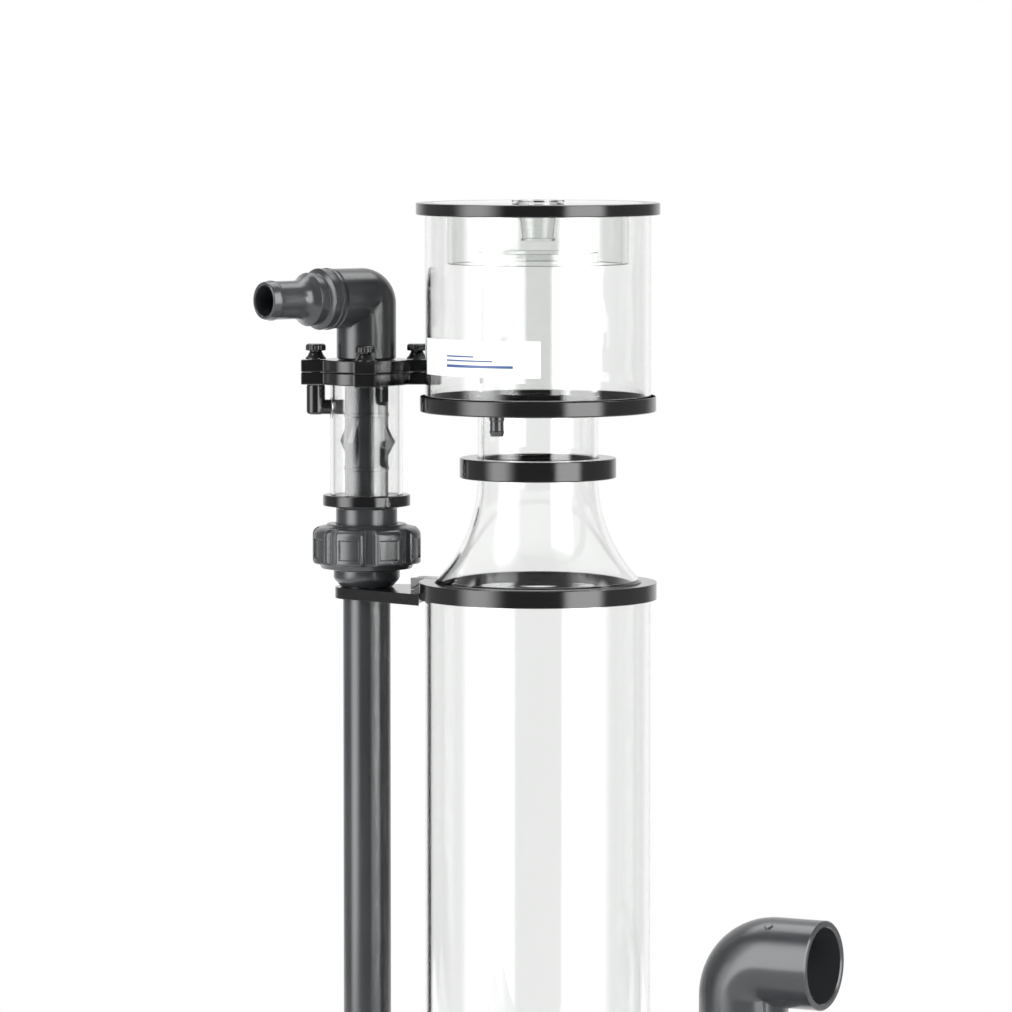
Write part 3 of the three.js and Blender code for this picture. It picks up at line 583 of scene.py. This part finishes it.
def makeLid():
    s = lidSizes
    outer, bottom, top = radiusOf("lid_ring"), low("lid_ring").z, high("lid_ring").z
    shelf = low("lid_disc").z - 0.3
    fit(turned("lidRing", [
        (s["bore"], bottom), (s["inside"], bottom), (s["inside"], bottom + s["groove"]),
        (s["outside"], bottom + s["groove"]), (s["outside"], bottom), (outer, bottom), (outer, top),
        (s["rebate"], top), (s["rebate"], shelf), (s["bore"], shelf)], sides=160), "lid_ring", 0.8)
    fit(turned("lidDisc", tubeRings(
        radiusOf("lid_disc"), s["discBore"], low("lid_disc").z, high("lid_disc").z), sides=144),
        "lid_disc", 0.3, segments=2)
    outer = radiusOf("lid_sleeve")
    sawnRims(fit(turned("lidSleeve", tubeRings(
        outer, outer - s["sleeveWall"], low("lid_sleeve").z, high("lid_sleeve").z), sides=144),
        "lid_sleeve", 0.6, segments=2))
    bottom, top, rim = low("lid_stopper").z, high("lid_stopper").z, high("lid_disc").z + 0.3
    wall = s["stopperWall"]
    stopper = fit(turned("lidStopper", [
        (s["tip"], bottom), (s["throat"], rim - 4), (s["throat"], rim), (s["stopperLip"], rim),
        (s["stopperLip"], top), (s["throat"] - wall, top), (s["tip"] - wall, bottom + wall)],
        sides=72, solid=True), "lid_stopper", 0.3, segments=2)
    refinish(stopper, sawnFinish, lambda place, normal: normal.z < -0.9 and place.z < bottom + 1)
    print("lid done")


# ---- elbows: a straight turned piece whose lines are led round a tight corner
def elbow(name, look, place, turn, down, along):
    outer, bend, steps = look["outer"], look["bend"], 18
    arcLength = math.pi / 2 * bend
    length = down + along - 2 * bend + arcLength
    start, end = down - bend, down - bend + arcLength

    def line(radius, first, last):
        marks = [first, last] + [start + (end - start) * i / steps for i in range(steps + 1)]
        marks += [start - 0.35 * outer, end + 0.35 * outer]
        kept = sorted({round(m, 4) for m in marks if min(first, last) <= m <= max(first, last)})
        return [(radius, m) for m in (kept if last > first else kept[::-1])]

    socket, depth, bore, rim = look["socket"], look["depth"], look["bore"], look["rim"]
    rings = [(socket + rim, 0.0), (outer - rim, 0.0)] + line(outer, rim, length - rim)
    rings += [(outer - rim, length), (socket + rim, length)]
    rings += [(socket, length - rim), (socket, length - depth)]
    rings += line(bore, length - depth, depth) + [(socket, depth), (socket, rim)]
    piece = turned(name, rings, sides=look["sides"])
    for vertex in piece.data.vertices:
        u, v, s = (value / mm for value in vertex.co)
        if s <= start:
            x, z = u, s - down
            z = min(z, -u) if u > bend else z
        elif s <= end:
            a = (s - start) / bend
            x, z = (u, -u) if u > bend else (
                bend - (bend - u) * math.cos(a), -bend + (bend - u) * math.sin(a))
        else:
            x, z = bend + s - end, -u
            x = max(x, u) if u > bend else x
        vertex.co = Vector((x, v, z)) * mm
    pick(piece)
    bpy.ops.object.mode_set(mode="EDIT")
    closeUp()
    return settle(piece, place, turn)


smallElbow = {
    "outer": 20.0, "bend": 4.0, "socket": 16.3, "depth": 12.0, "bore": 13.4, "rim": 1.1, "sides": 96,
}
largeElbow = {
    "outer": 30.0, "bend": 24.0, "socket": 25.4, "depth": 28.0, "bore": 22.4, "rim": 0.9, "sides": 128,
}
elbowPlaces = {"smallReach": 30.0, "tailRise": 41.1, "largeReach": 60.0, "tailHeading": 218.0,
              "outletHeading": -29.0, "swirlReach": 27.0, "swirlDistance": 39.5,
              "markAlong": 26.0, "markLean": 30.0}


def makeElbows():
    p = elbowPlaces
    reach = p["smallReach"]
    tailAxis = low("tail_elbow").z + p["tailRise"]
    tailTurn = math.radians(p["tailHeading"])
    fit(elbow("tailElbow", smallElbow, (unionAxis.x, unionAxis.y, tailAxis), (0, 0, tailTurn),
              p["tailRise"], reach), "tail_elbow")
    inletHeight = (low("inlet_nipple").z + high("inlet_nipple").z) / 2
    fit(elbow("inletElbow", smallElbow, (unionAxis.x, unionAxis.y, inletHeight),
              (math.pi, 0, injectorHeading + math.pi), reach, reach), "inlet_elbow")
    place = Vector((math.cos(injectorHeading), math.sin(injectorHeading), 0)) * p["swirlDistance"]
    place.z = inletHeight
    turn = (Matrix.Rotation(injectorHeading, 3, "Z") @ Matrix.Rotation(math.pi / 2, 3, "X")).to_euler()
    fit(elbow("swirlElbow", smallElbow, place, turn, p["swirlReach"], p["swirlReach"]), "swirl_elbow")

    reach = p["largeReach"]
    outletHeight = (low("outlet_nipple").z + high("outlet_nipple").z) / 2
    fit(elbow("outletFootElbow", largeElbow, (outletAxis.x, outletAxis.y, outletHeight),
              (math.pi, 0, math.pi), reach, reach), "outlet_foot_elbow")
    axis = low("outlet_elbow").z + reach
    turn = math.radians(p["outletHeading"])
    mouth = elbow("outletElbow", largeElbow, (outletAxis.x, outletAxis.y, axis), (0, 0, turn), reach, reach)
    # the moulding mark: a low round pip on the upper front of the bend
    lean, outer = math.radians(p["markLean"]), largeElbow["outer"]
    place = Vector((p["markAlong"], -outer * math.sin(lean), outer * math.cos(lean)))
    place.rotate(Matrix.Rotation(turn, 3, "Z"))
    mark = settle(turned("mark", [(3.0, -2.0), (3.0, 0.3), (2.2, 0.9)], sides=32, solid=True),
                  place + Vector((outletAxis.x, outletAxis.y, axis)), (lean, 0, turn))
    fit(combine(mouth, mark, "UNION"), "outlet_elbow")
    print("elbows done")


# ---- hose tail
tailRings = [  # radius, distance from the elbow's face
    (19.4, 0), (20.6, 1.0), (20.7, 3.4), (19.9, 4.2), (20.2, 5.2), (20.6, 9.4), (20.3, 10.0), (18.4, 10.9),
    (17.2, 12.0), (17.4, 13.2), (17.9, 18.8), (17.6, 19.6), (15.8, 21.4), (14.2, 23.6), (13.4, 26.0),
    (12.9, 28.4), (12.8, 31), (12.8, 46.0), (13.1, 46.8), (13.4, 48.2), (13.3, 49.8), (12.9, 51.0),
]


def makeHoseTail():
    p = elbowPlaces
    face, end = p["smallReach"] + 0.3, p["smallReach"] + 55.0
    bore, spigot = 10.2, p["smallReach"] - smallElbow["depth"] + 0.6
    rings = [(bore, spigot), (16.0, spigot), (16.0, face)] + [(r, face + d) for r, d in tailRings]
    rings += [(12.7, end - 1.6), (12.3, end - 0.5), (11.6, end), (bore + 0.8, end), (bore, end - 0.8)]
    tailAxis = low("tail_elbow").z + p["tailRise"]
    tail = turnedLying("hoseTail", rings, (unionAxis.x, unionAxis.y, tailAxis),
                       math.radians(p["tailHeading"]), sides=96)
    fit(tail, "hose_tail", 0.2, segments=2)
    print("hose tail done")


# ---- union nuts: turned, then drawn in between the grips, and a panel sunk in each grip
def gripNut(name, look, at, bottom, sides=160):
    outer, height, count = look["outer"], look["height"], look["count"]
    hole, thread, lip = look["hole"], look["thread"], look["lip"]
    rows = [(outer - 6.2, 0.0), (outer - 5.0, 2.4), (outer - 4.4, 3.0), (outer - 1.0, 3.4)]
    rows += [(outer - 0.2, 4.0), (outer, 5.0), (outer, 7.0), (outer, height - 9.4), (outer, height - 7.0)]
    rows += [(outer - 0.4, height - 5.4), (outer - 1.4, height - 3.9), (outer - 3.0, height - 2.7)]
    rows += [(outer - 5.2, height - 2.0), (outer - 8.2, height - 1.4), (outer - 9.6, height - 0.7),
             (outer - 10.2, height)]
    rings = [(thread, 0.0)] + rows + [(hole, height), (hole, height - lip), (thread, height - lip)]
    nut = turned(name, rings, sides=sides)
    pitch = math.tau / count
    for vertex in nut.data.vertices:
        x, y, z = (value / mm for value in vertex.co)
        radius = math.hypot(x, y)
        if radius < outer - 4.2:
            continue
        offset = abs((math.atan2(y, x) / pitch + 0.5) % 1 - 0.5)  # 0 in the middle of a grip
        ease = min(1.0, max(0.0, (offset - look["grip"]) / look["slope"]))
        drop = look["dip"] * ease * ease * (3 - 2 * ease)
        kept = max(outer - 4.4, radius - drop)
        vertex.co.x *= kept / radius
        vertex.co.y *= kept / radius

    # the middle of a grip, between the row above its foot and the row below its shoulder
    def onPanel(place, normal):
        offset = abs((math.atan2(place.y, place.x) / pitch + 0.5) % 1 - 0.5)
        level = 6.9 < place.z < height - 9.3
        return level and offset < look["panel"] and math.hypot(place.x, place.y) > outer - 2

    openOn(nut, onPanel)
    bpy.ops.mesh.inset(thickness=0.5 * mm, depth=-look["sink"] * mm)
    closeUp()
    return settle(nut, (at.x, at.y, bottom), (0, 0, math.radians(look["phase"])))


unionLook = {"outer": 36.6, "height": 30.0, "count": 8, "hole": 21.1, "thread": 28.9, "lip": 5.0,
             "grip": 0.33, "slope": 0.06, "dip": 3.6, "panel": 0.25, "sink": 1.3, "phase": -108.5}
valveLook = {"outer": 44.0, "height": 33.0, "count": 8, "hole": 31.0, "thread": 34.5, "lip": 9.0,
             "grip": 0.33, "slope": 0.06, "dip": 3.8, "panel": 0.25, "sink": 1.3, "phase": -90.0}
unionSizes = {"socket": 16.3, "bore": 15.2, "tail": 22.3, "thread": 28.4, "head": 20.6, "shoulder": 26.0}


def makeUnion():
    s, at = unionSizes, (unionAxis.x, unionAxis.y)
    outer = radiusOf("inlet_pipe")
    fit(turned("inletPipe", tubeRings(outer, outer - 2.4, low("inlet_pipe").z, high("inlet_pipe").z), at, 72),
        "inlet_pipe", 0.3, pipeFinish, 2)
    bottom, top, nutBottom = low("union_tail").z, high("union_tail").z, low("union_nut").z
    fit(turned("unionTail", [
        (s["socket"], bottom), (17.6, bottom), (19.4, bottom + 2.2), (21.4, bottom + 4.4),
        (s["tail"], bottom + 6.2), (s["tail"], nutBottom - 1.2), (25.4, nutBottom + 0.6),
        (s["thread"], nutBottom + 3),
        (s["thread"], top), (s["bore"], top), (s["bore"], bottom + 18.4), (s["socket"], bottom + 18.4)],
        at, 96), "union_tail", 0.4, segments=2)
    bottom, top = low("union_head").z, high("union_head").z
    fit(turned("unionHead", [
        (s["bore"], bottom), (s["shoulder"], bottom), (s["shoulder"], bottom + 5), (s["head"], bottom + 7),
        (s["head"], top - 1.6), (s["head"] + 0.9, top - 0.6), (s["head"] + 0.9, top), (s["bore"], top)],
        at, 96),
        "union_head", 0.3, segments=2)
    fit(gripNut("unionNut", unionLook, unionAxis, nutBottom), "union_nut", 0.35, segments=2)
    print("union done")


# ---- venturi chamber
chamberSizes = {"wall": 3.0, "airHole": 5.3, "flangeBore": 15.2, "plateBore": 21.5, "capBore": 15.0,
                "disc": 29.4, "lugReach": 43.8, "lugWidth": 14.5, "screwCircle": 34.0, "airDrop": 15.0,
                "airTube": 2.9, "airBore": 1.7}


def lugPlate(name, bottom, top, bore):
    s, at = chamberSizes, (unionAxis.x, unionAxis.y)
    plate = turned(name, tubeRings(s["disc"], bore, bottom, top), at, 100)
    half = math.degrees(math.asin(s["lugWidth"] / 2 / s["disc"]))
    for number in range(4):
        def onRim(place, normal):
            x, y = place.x - at[0], place.y - at[1]
            off = (math.degrees(math.atan2(y, x)) - 90 * number + 180) % 360 - 180
            return math.hypot(x, y) > s["disc"] - 1 and abs(off) < half and abs(normal.z) < 0.5

        way = Vector((round(math.cos(number * math.pi / 2)), round(math.sin(number * math.pi / 2)), 0))
        end = Vector((*at, 0)) + way * s["lugReach"]
        openOn(plate, onRim)
        bpy.ops.mesh.extrude_region_move(
            TRANSFORM_OT_translate={"value": way * (s["lugReach"] - s["disc"]) * mm})
        bpy.ops.transform.resize(
            value=(0 if way.x else 1, 0 if way.y else 1, 1), center_override=end * mm)
        closeUp()
    return plate


def makeChamber():
    s, at = chamberSizes, (unionAxis.x, unionAxis.y)
    bottom, top = low("chamber_flange").z, high("chamber_flange").z
    fit(turned("chamberFlange", tubeRings(s["disc"], s["flangeBore"], bottom, top), at, 112),
        "chamber_flange", 0.8)
    outer = radiusOf("chamber_tube")
    bottom, top = low("chamber_tube").z, high("chamber_tube").z
    airAxis = top - s["airDrop"]
    wall = turned("chamberTube", tubeRings(
        outer, outer - s["wall"], bottom, top, (airAxis - 7, airAxis + 7)), at, 112)
    combine(wall, turnedLying("hole", [(s["airHole"], 5), (s["airHole"], 40)], (*at, airAxis), math.pi,
                              solid=True, sides=40), "DIFFERENCE")
    fit(wall, "chamber_tube", 0.25, segments=2)
    refinish(wall, sawnFinish, lambda place, normal: abs(normal.z) > 0.25 or (
        place.x < at[0] and math.hypot(place.y - at[1], place.z - airAxis) < s["airHole"] + 0.3))
    for name, node, bore in (("seatPlate", "seat_plate", s["plateBore"]),
                             ("capPlate", "cap_plate", s["capBore"])):
        fit(lugPlate(name, low(node).z, high(node).z, bore), node, 0.8)

    x = at[0] - s["screwCircle"]
    post = turned("airElbow", [
        (4.4, top - 20), (5.6, top - 19.4), (6.3, top - 18.2), (6.3, top - 1.2), (5.9, top)],
        (x, at[1]), 48, True)
    leg = turnedLying("leg", [(5.0, 0), (5.0, s["screwCircle"] - s["flangeBore"])], (x, at[1], airAxis), 0.0,
                      solid=True, sides=48)
    fit(combine(post, leg, "UNION"), "air_elbow", 0.3, segments=2)
    middle = (low("air_tube") + high("air_tube")) / 2
    bottom, top = low("air_tube").z, high("air_tube").z
    fit(turned("airTube", tubeRings(s["airTube"], s["airBore"], bottom, top), (middle.x, middle.y), 32),
        "air_tube", 0.2, pipeFinish, 2)
    print("chamber done")


nozzleSizes = {"outer": 14.7, "bore": 11.0, "throat": 7.5, "finReach": 20.4, "finHalf": 17.0,
               "finThickness": 4.0, "fins": (60, 150, 240, 330)}


def makeNozzle():
    s, at = nozzleSizes, (unionAxis.x, unionAxis.y)
    bottom, top = low("venturi_nozzle").z, high("venturi_nozzle").z
    waist = (low("chamber_tube").z + high("chamber_tube").z) / 2 - 1.3
    nozzle = turned("venturiNozzle", [
        (s["bore"], bottom), (s["outer"], bottom), (s["outer"], waist - 19.5), (s["outer"] + 0.5, waist - 19),
        (s["outer"] + 0.5, waist - 17), (s["outer"], waist - 16.5), (s["outer"], waist + 16.5),
        (s["outer"] + 0.5, waist + 17), (s["outer"] + 0.5, waist + 19), (s["outer"], waist + 19.5),
        (s["outer"], top), (s["bore"], top), (s["bore"], waist + 51), (s["throat"], waist + 27),
        (s["throat"], waist + 17)], at, 96)
    for degrees in s["fins"]:
        turn = math.radians(degrees)
        deselectAll()
        bpy.ops.mesh.primitive_cylinder_add(vertices=4, radius=1, depth=s["finThickness"] * mm)
        fin = bpy.context.object
        settle(fin, turn=(math.pi / 2, 0, 0))
        fin.scale = ((s["finReach"] - 8) * mm, 1, (s["finHalf"] + 7) * mm)
        settle(fin)
        settle(fin, (at[0] + 8 * math.cos(turn), at[1] + 8 * math.sin(turn), waist), (0, 0, turn))
        keep = turned("keep", tubeRings(30, s["bore"] + 1.5, waist - 40, waist + 40), at, 48)
        combine(fin, keep, "INTERSECT")
        combine(nozzle, fin, "UNION")
    fit(nozzle, "venturi_nozzle", 0.3, segments=2)
    print("nozzle done")


thumbSizes = {
    "cap": 6.8, "capHeight": 4.6, "neck": 3.9, "skirt": 7.0, "shank": 2.8, "depth": 14.0,
    "flutes": 12, "fluteDepth": 0.35,
}


def makeThumbScrews():
    s = thumbSizes
    bottom, top = low("thumb_screw_front").z, high("thumb_screw_front").z
    seat = bottom + s["depth"]
    under = top - s["capHeight"]
    first = turned("thumbPattern", [
        (s["shank"], bottom), (s["shank"], seat), (s["skirt"], seat), (s["skirt"], seat + 0.8),
        (s["skirt"] - 1.4, seat + 2.2), (s["neck"] + 0.3, under - 0.8), (s["neck"] + 0.3, under),
        (s["cap"] - 0.4, under), (s["cap"], under + 0.5), (s["cap"], under + 1.6), (s["cap"], top - 1.6),
        (s["cap"] - 0.3, top - 0.8), (s["cap"] - 1.4, top)], sides=96, solid=True)
    for vertex in first.data.vertices:
        x, y, z = (value / mm for value in vertex.co)
        radius = math.hypot(x, y)
        if z > under + 0.2 and radius > s["cap"] - 1:
            dip = s["fluteDepth"] * max(0.0, math.cos(math.atan2(y, x) * s["flutes"])) ** 2
            vertex.co.x *= 1 - dip / radius
            vertex.co.y *= 1 - dip / radius
    for name, node in (("thumbScrewRight", "thumb_screw_right"), ("thumbScrewBack", "thumb_screw_back"),
                       ("thumbScrewFront", "thumb_screw_front"), ("airScrewLeft", "air_screw_left")):
        middle = (low(node) + high(node)) / 2
        fit(copyOf(first, name, (middle.x, middle.y, 0)), node, 0.2, segments=2)
    bpy.data.objects.remove(first)
    print("thumb screws done")


# ---- pipes into the column
footSizes = {
    "inlet": 16.0, "inletBore": 13.6, "inletHole": 16.3, "inletCollar": 23.5, "inletNeck": 20.6,
    "outlet": 25.0, "outletBore": 22.4, "outletHole": 25.3, "outletCollar": 30.0, "columnSpace": 75.3,
}


# Cuts a saddle to the round of the column.
def clearOfColumn(collar, height):
    rings = [(footSizes["columnSpace"], height - 60), (footSizes["columnSpace"], height + 60)]
    return combine(collar, turned("columnSpace", rings, sides=160, solid=True), "DIFFERENCE")


def makeFootPipes():
    s = footSizes
    height = (low("inlet_nipple").z + high("inlet_nipple").z) / 2
    centre = (low("inlet_nipple") + high("inlet_nipple")) / 2
    span = math.hypot(centre.x, centre.y)
    half = ((high("inlet_nipple").x - low("inlet_nipple").x) / 2
            - s["inlet"] * abs(math.sin(injectorHeading))) / abs(math.cos(injectorHeading))
    fit(turnedLying("inletNipple", tubeRings(s["inlet"], s["inletBore"], span - half, span + half),
                    (0, 0, height), injectorHeading, sides=72), "inlet_nipple", 0.3, pipeFinish, 2)
    hole, wide, narrow = s["inletHole"], s["inletCollar"], s["inletNeck"]
    collar = turnedLying("inletSaddle", [(hole, 60), (wide, 60), (wide, 88), (narrow, 92), (hole, 92)],
                         (0, 0, height), injectorHeading, sides=96)
    fit(clearOfColumn(collar, height), "inlet_saddle")

    height = (low("outlet_nipple").z + high("outlet_nipple").z) / 2
    start, end = low("outlet_nipple").x, high("outlet_nipple").x
    fit(turnedLying("outletNipple", tubeRings(s["outlet"], s["outletBore"], start, end),
                    (0, 0, height), 0.0, sides=96), "outlet_nipple", 0.3, pipeFinish, 2)
    rings = tubeRings(s["outletCollar"], s["outletHole"], 50, high("outlet_saddle").x)
    collar = turnedLying("outletSaddle", rings, (0, 0, height), 0.0, sides=112)
    fit(clearOfColumn(collar, height), "outlet_saddle")
    at = (outletAxis.x, outletAxis.y)
    for name, node in (("riserLower", "riser_lower"), ("riserUpper", "riser_upper")):
        rings = tubeRings(s["outlet"], s["outletBore"], low(node).z, high(node).z)
        fit(turned(name, rings, at, 96), node, 0.3, pipeFinish, 2)
    print("foot pipes done")


# ---- valve
valveSizes = {"half": 31.0, "thread": 34.0, "body": 37.0, "socket": 25.3, "bore": 20.0, "cavity": 26.8,
              "overlap": 15.0, "boss": 13.0, "bossReach": 46.0, "stem": 6.5}


def makeValve():
    s, at, centre = valveSizes, (outletAxis.x, outletAxis.y), valveCentre.z
    half = s["half"]
    step = half - s["overlap"] - 1
    rings = [(24, -half), (s["thread"], -half), (s["thread"], -step), (s["body"] - 1.2, -step),
             (s["body"], -step + 1.4), (s["body"], -6), (s["body"] - 0.8, -5.2), (s["body"] - 0.8, 5.2),
             (s["body"], 6), (s["body"], step - 1.4), (s["body"] - 1.2, step), (s["thread"], step),
             (s["thread"], half), (24, half), (24, half - 4), (s["cavity"], half - 6),
             (s["cavity"], -half + 6), (24, -half + 4)]
    body = turned("valveBody", [(r, z + centre) for r, z in rings], at, 128)
    boss = turnedLying("boss", tubeRings(s["boss"], s["stem"], 30, s["bossReach"]),
                       (*at, centre), -math.pi / 2, sides=64)
    fit(combine(body, boss, "UNION"), "valve_body", 0.4, segments=2)

    upper = [(s["bore"], 31.3), (33.6, 31.3), (33.6, 36.3), (30.5, 38.3), (30.5, 68.9), (31.3, 69.7),
             (31.3, 71.3), (s["socket"], 71.3), (s["socket"], 39.3), (s["bore"], 39.3)]
    for name, node, side in (("valveEndUpper", "valve_end_upper", 1),
                             ("valveEndLower", "valve_end_lower", -1)):
        fit(turned(name, [(r, centre + side * z) for r, z in upper], at, 112), node, 0.5, segments=2)
    start = half - s["overlap"]
    nut = gripNut("valveNutUpper", valveLook, outletAxis, centre + start)
    fit(nut, "valve_nut_upper", 0.4, segments=2)
    lower = gripNut("valveNutLower", valveLook, Vector((0, 0, 0)), 0.0)
    settle(lower, (at[0], at[1], centre - start), (math.pi, 0, 0))
    fit(lower, "valve_nut_lower", 0.4, segments=2)
    print("valve done")


handleSizes = {
    "hub": 15.0, "front": 62.5, "back": 46.5, "gripBack": 52.5, "bar": 92.0, "width": 16.0, "tip": 11.0,
    "dimple": 9.5,
}


def makeHandle():
    s, x, centre = handleSizes, valveCentre.x, valveCentre.z
    depth = s["front"] - s["gripBack"]
    hub = turnedLying("valveHandle", [
        (s["hub"] - 1, s["back"]), (s["hub"], s["back"] + 1), (s["hub"], s["front"] - 1.4),
        (s["hub"] - 1.4, s["front"]), (s["dimple"], s["front"]), (s["dimple"] - 1, s["front"] - 0.8)],
        (x, 0, centre), -math.pi / 2, solid=True, sides=72)
    middle = -(s["front"] + s["gripBack"]) / 2
    bar = block("bar", (s["width"], depth, s["bar"]), (x, middle, centre))
    combine(hub, bar, "UNION")
    for side in (-1, 1):
        tip = turnedLying("tip", [(s["tip"], s["gripBack"]), (s["tip"], s["front"])],
                          (x, 0, centre + side * s["bar"] / 2), -math.pi / 2, solid=True, sides=64)
        combine(hub, tip, "UNION")
    fit(hub, "valve_handle", 1.1)
    print("handle done")


makeColumn()
makeBolts()
makeTopRing()
makeBell()
makeCup()
makeLabel()
makeLid()
makeElbows()
makeHoseTail()
makeUnion()
makeChamber()
makeNozzle()
makeThumbScrews()
makeFootPipes()
makeValve()
makeHandle()

# ---- the inner pieces that stay as they are
for node in ("valve_ball", "valve_seat_upper", "valve_seat_lower",
             "neck_o_ring", "union_o_ring", "cap_o_ring"):
    inner = frame["nodes"][node]
    inner.data.materials.clear()
    inner.data.materials.append(finishes[slotOf[node]])
print("inner pieces done")


# ---- floor, light and camera
studio = {
    "floorSize": 4.0, "room": 1.0,
    # middle and half width of each zone in degrees, across from the front and up, then its brightness
    "zones": [
        {"across": (0, 78), "up": (60, 44), "soft": 14, "level": 0.22},
        {"across": (0, 126), "up": (0, 62), "soft": 24, "level": 0.36},
        {"across": (0, 27), "up": (0, 62), "soft": 12, "level": 0.05},
        {"across": (-60, 5), "up": (15, 23), "soft": 24, "level": 6.5},
        {"across": (45, 13), "up": (15, 23), "soft": 12, "level": 7.5},
        {"across": (0, 20), "up": (10, 40), "soft": 7, "level": 0.05},
        {"across": (180, 60), "up": (60, 9), "soft": 8, "level": 4.0},
    ],
}


def makeStudio():
    deselectAll()
    bpy.ops.mesh.primitive_plane_add(size=studio["floorSize"], location=(0, 0, -0.0005))
    floor = bpy.context.object
    floor.name = "floor"
    finish, nodes, links, shader = newFinish("floorPaper")
    links.new(tint(nodes, links, noiseAt(nodes, links, 3.0), (0.83, 0.83, 0.83), (0.86, 0.86, 0.86)),
              shader.inputs["Base Color"])
    shader.inputs["Roughness"].default_value = 0.9
    shader.inputs["Specular IOR Level"].default_value = 0.1
    floor.data.materials.append(finish)

    # the room is white behind and dark in front, with a soft box on each side and one high at the back
    world = bpy.data.worlds.new("studio")
    bpy.context.scene.world = world
    world.use_nodes = True
    nodes, links = world.node_tree.nodes, world.node_tree.links
    back = nodes["Background"]
    maths = partial(mathsNode, nodes, links)
    coords = addNode(nodes, "ShaderNodeTexCoord")
    parts = addNode(nodes, "ShaderNodeSeparateXYZ")
    links.new(coords.outputs["Generated"], parts.inputs["Vector"])
    bearing = maths("ARCTAN2", parts.outputs["X"], maths("MULTIPLY", parts.outputs["Y"], -1.0))
    height = maths("ARCSINE", parts.outputs["Z"])

    def within(angle, middle, half, soft):
        ease = addNode(nodes, "ShaderNodeMapRange", interpolation_type="SMOOTHSTEP")
        ease.inputs["From Min"].default_value = math.radians(half)
        ease.inputs["From Max"].default_value = math.radians(half + soft)
        ease.inputs["To Min"].default_value = 1.0
        ease.inputs["To Max"].default_value = 0.0
        away = maths("WRAP", maths("SUBTRACT", angle, math.radians(middle)), math.pi, -math.pi)
        links.new(maths("ABSOLUTE", away), ease.inputs["Value"])
        return ease.outputs["Result"]

    def toward(value, weight, strength):
        return maths("MULTIPLY_ADD", weight, maths("SUBTRACT", strength, value), value)

    level = studio["room"]
    for zone in studio["zones"]:
        weight = maths("MULTIPLY", within(bearing, *zone["across"], zone["soft"]),
                       within(height, *zone["up"], zone["soft"]))
        level = toward(level, weight, zone["level"])
    seen = addNode(nodes, "ShaderNodeLightPath")
    level = toward(level, seen.outputs["Is Camera Ray"], 1.0)
    links.new(level, back.inputs["Strength"])
    back.inputs["Color"].default_value = (1, 1, 1, 1)
    bpy.context.scene.view_settings.view_transform = "Standard"
    print("studio done")


view = {"eye": (-0.0212, -4.115, 1.0031), "aim": (-0.0212, 0.0, 0.7005), "lens": 221.0}


def makeCamera():
    lens = bpy.data.cameras.new("camera")
    lens.sensor_width = 36.0
    lens.lens = view["lens"]
    lens.clip_end = 50.0
    camera = bpy.data.objects.new("camera", lens)
    bpy.context.scene.collection.objects.link(camera)
    camera.location = view["eye"]
    camera.rotation_euler = (Vector(view["aim"]) - Vector(view["eye"])).to_track_quat("-Z", "Y").to_euler()
    bpy.context.scene.camera = camera
    print("camera done")


makeStudio()
makeCamera()
deselectAll()
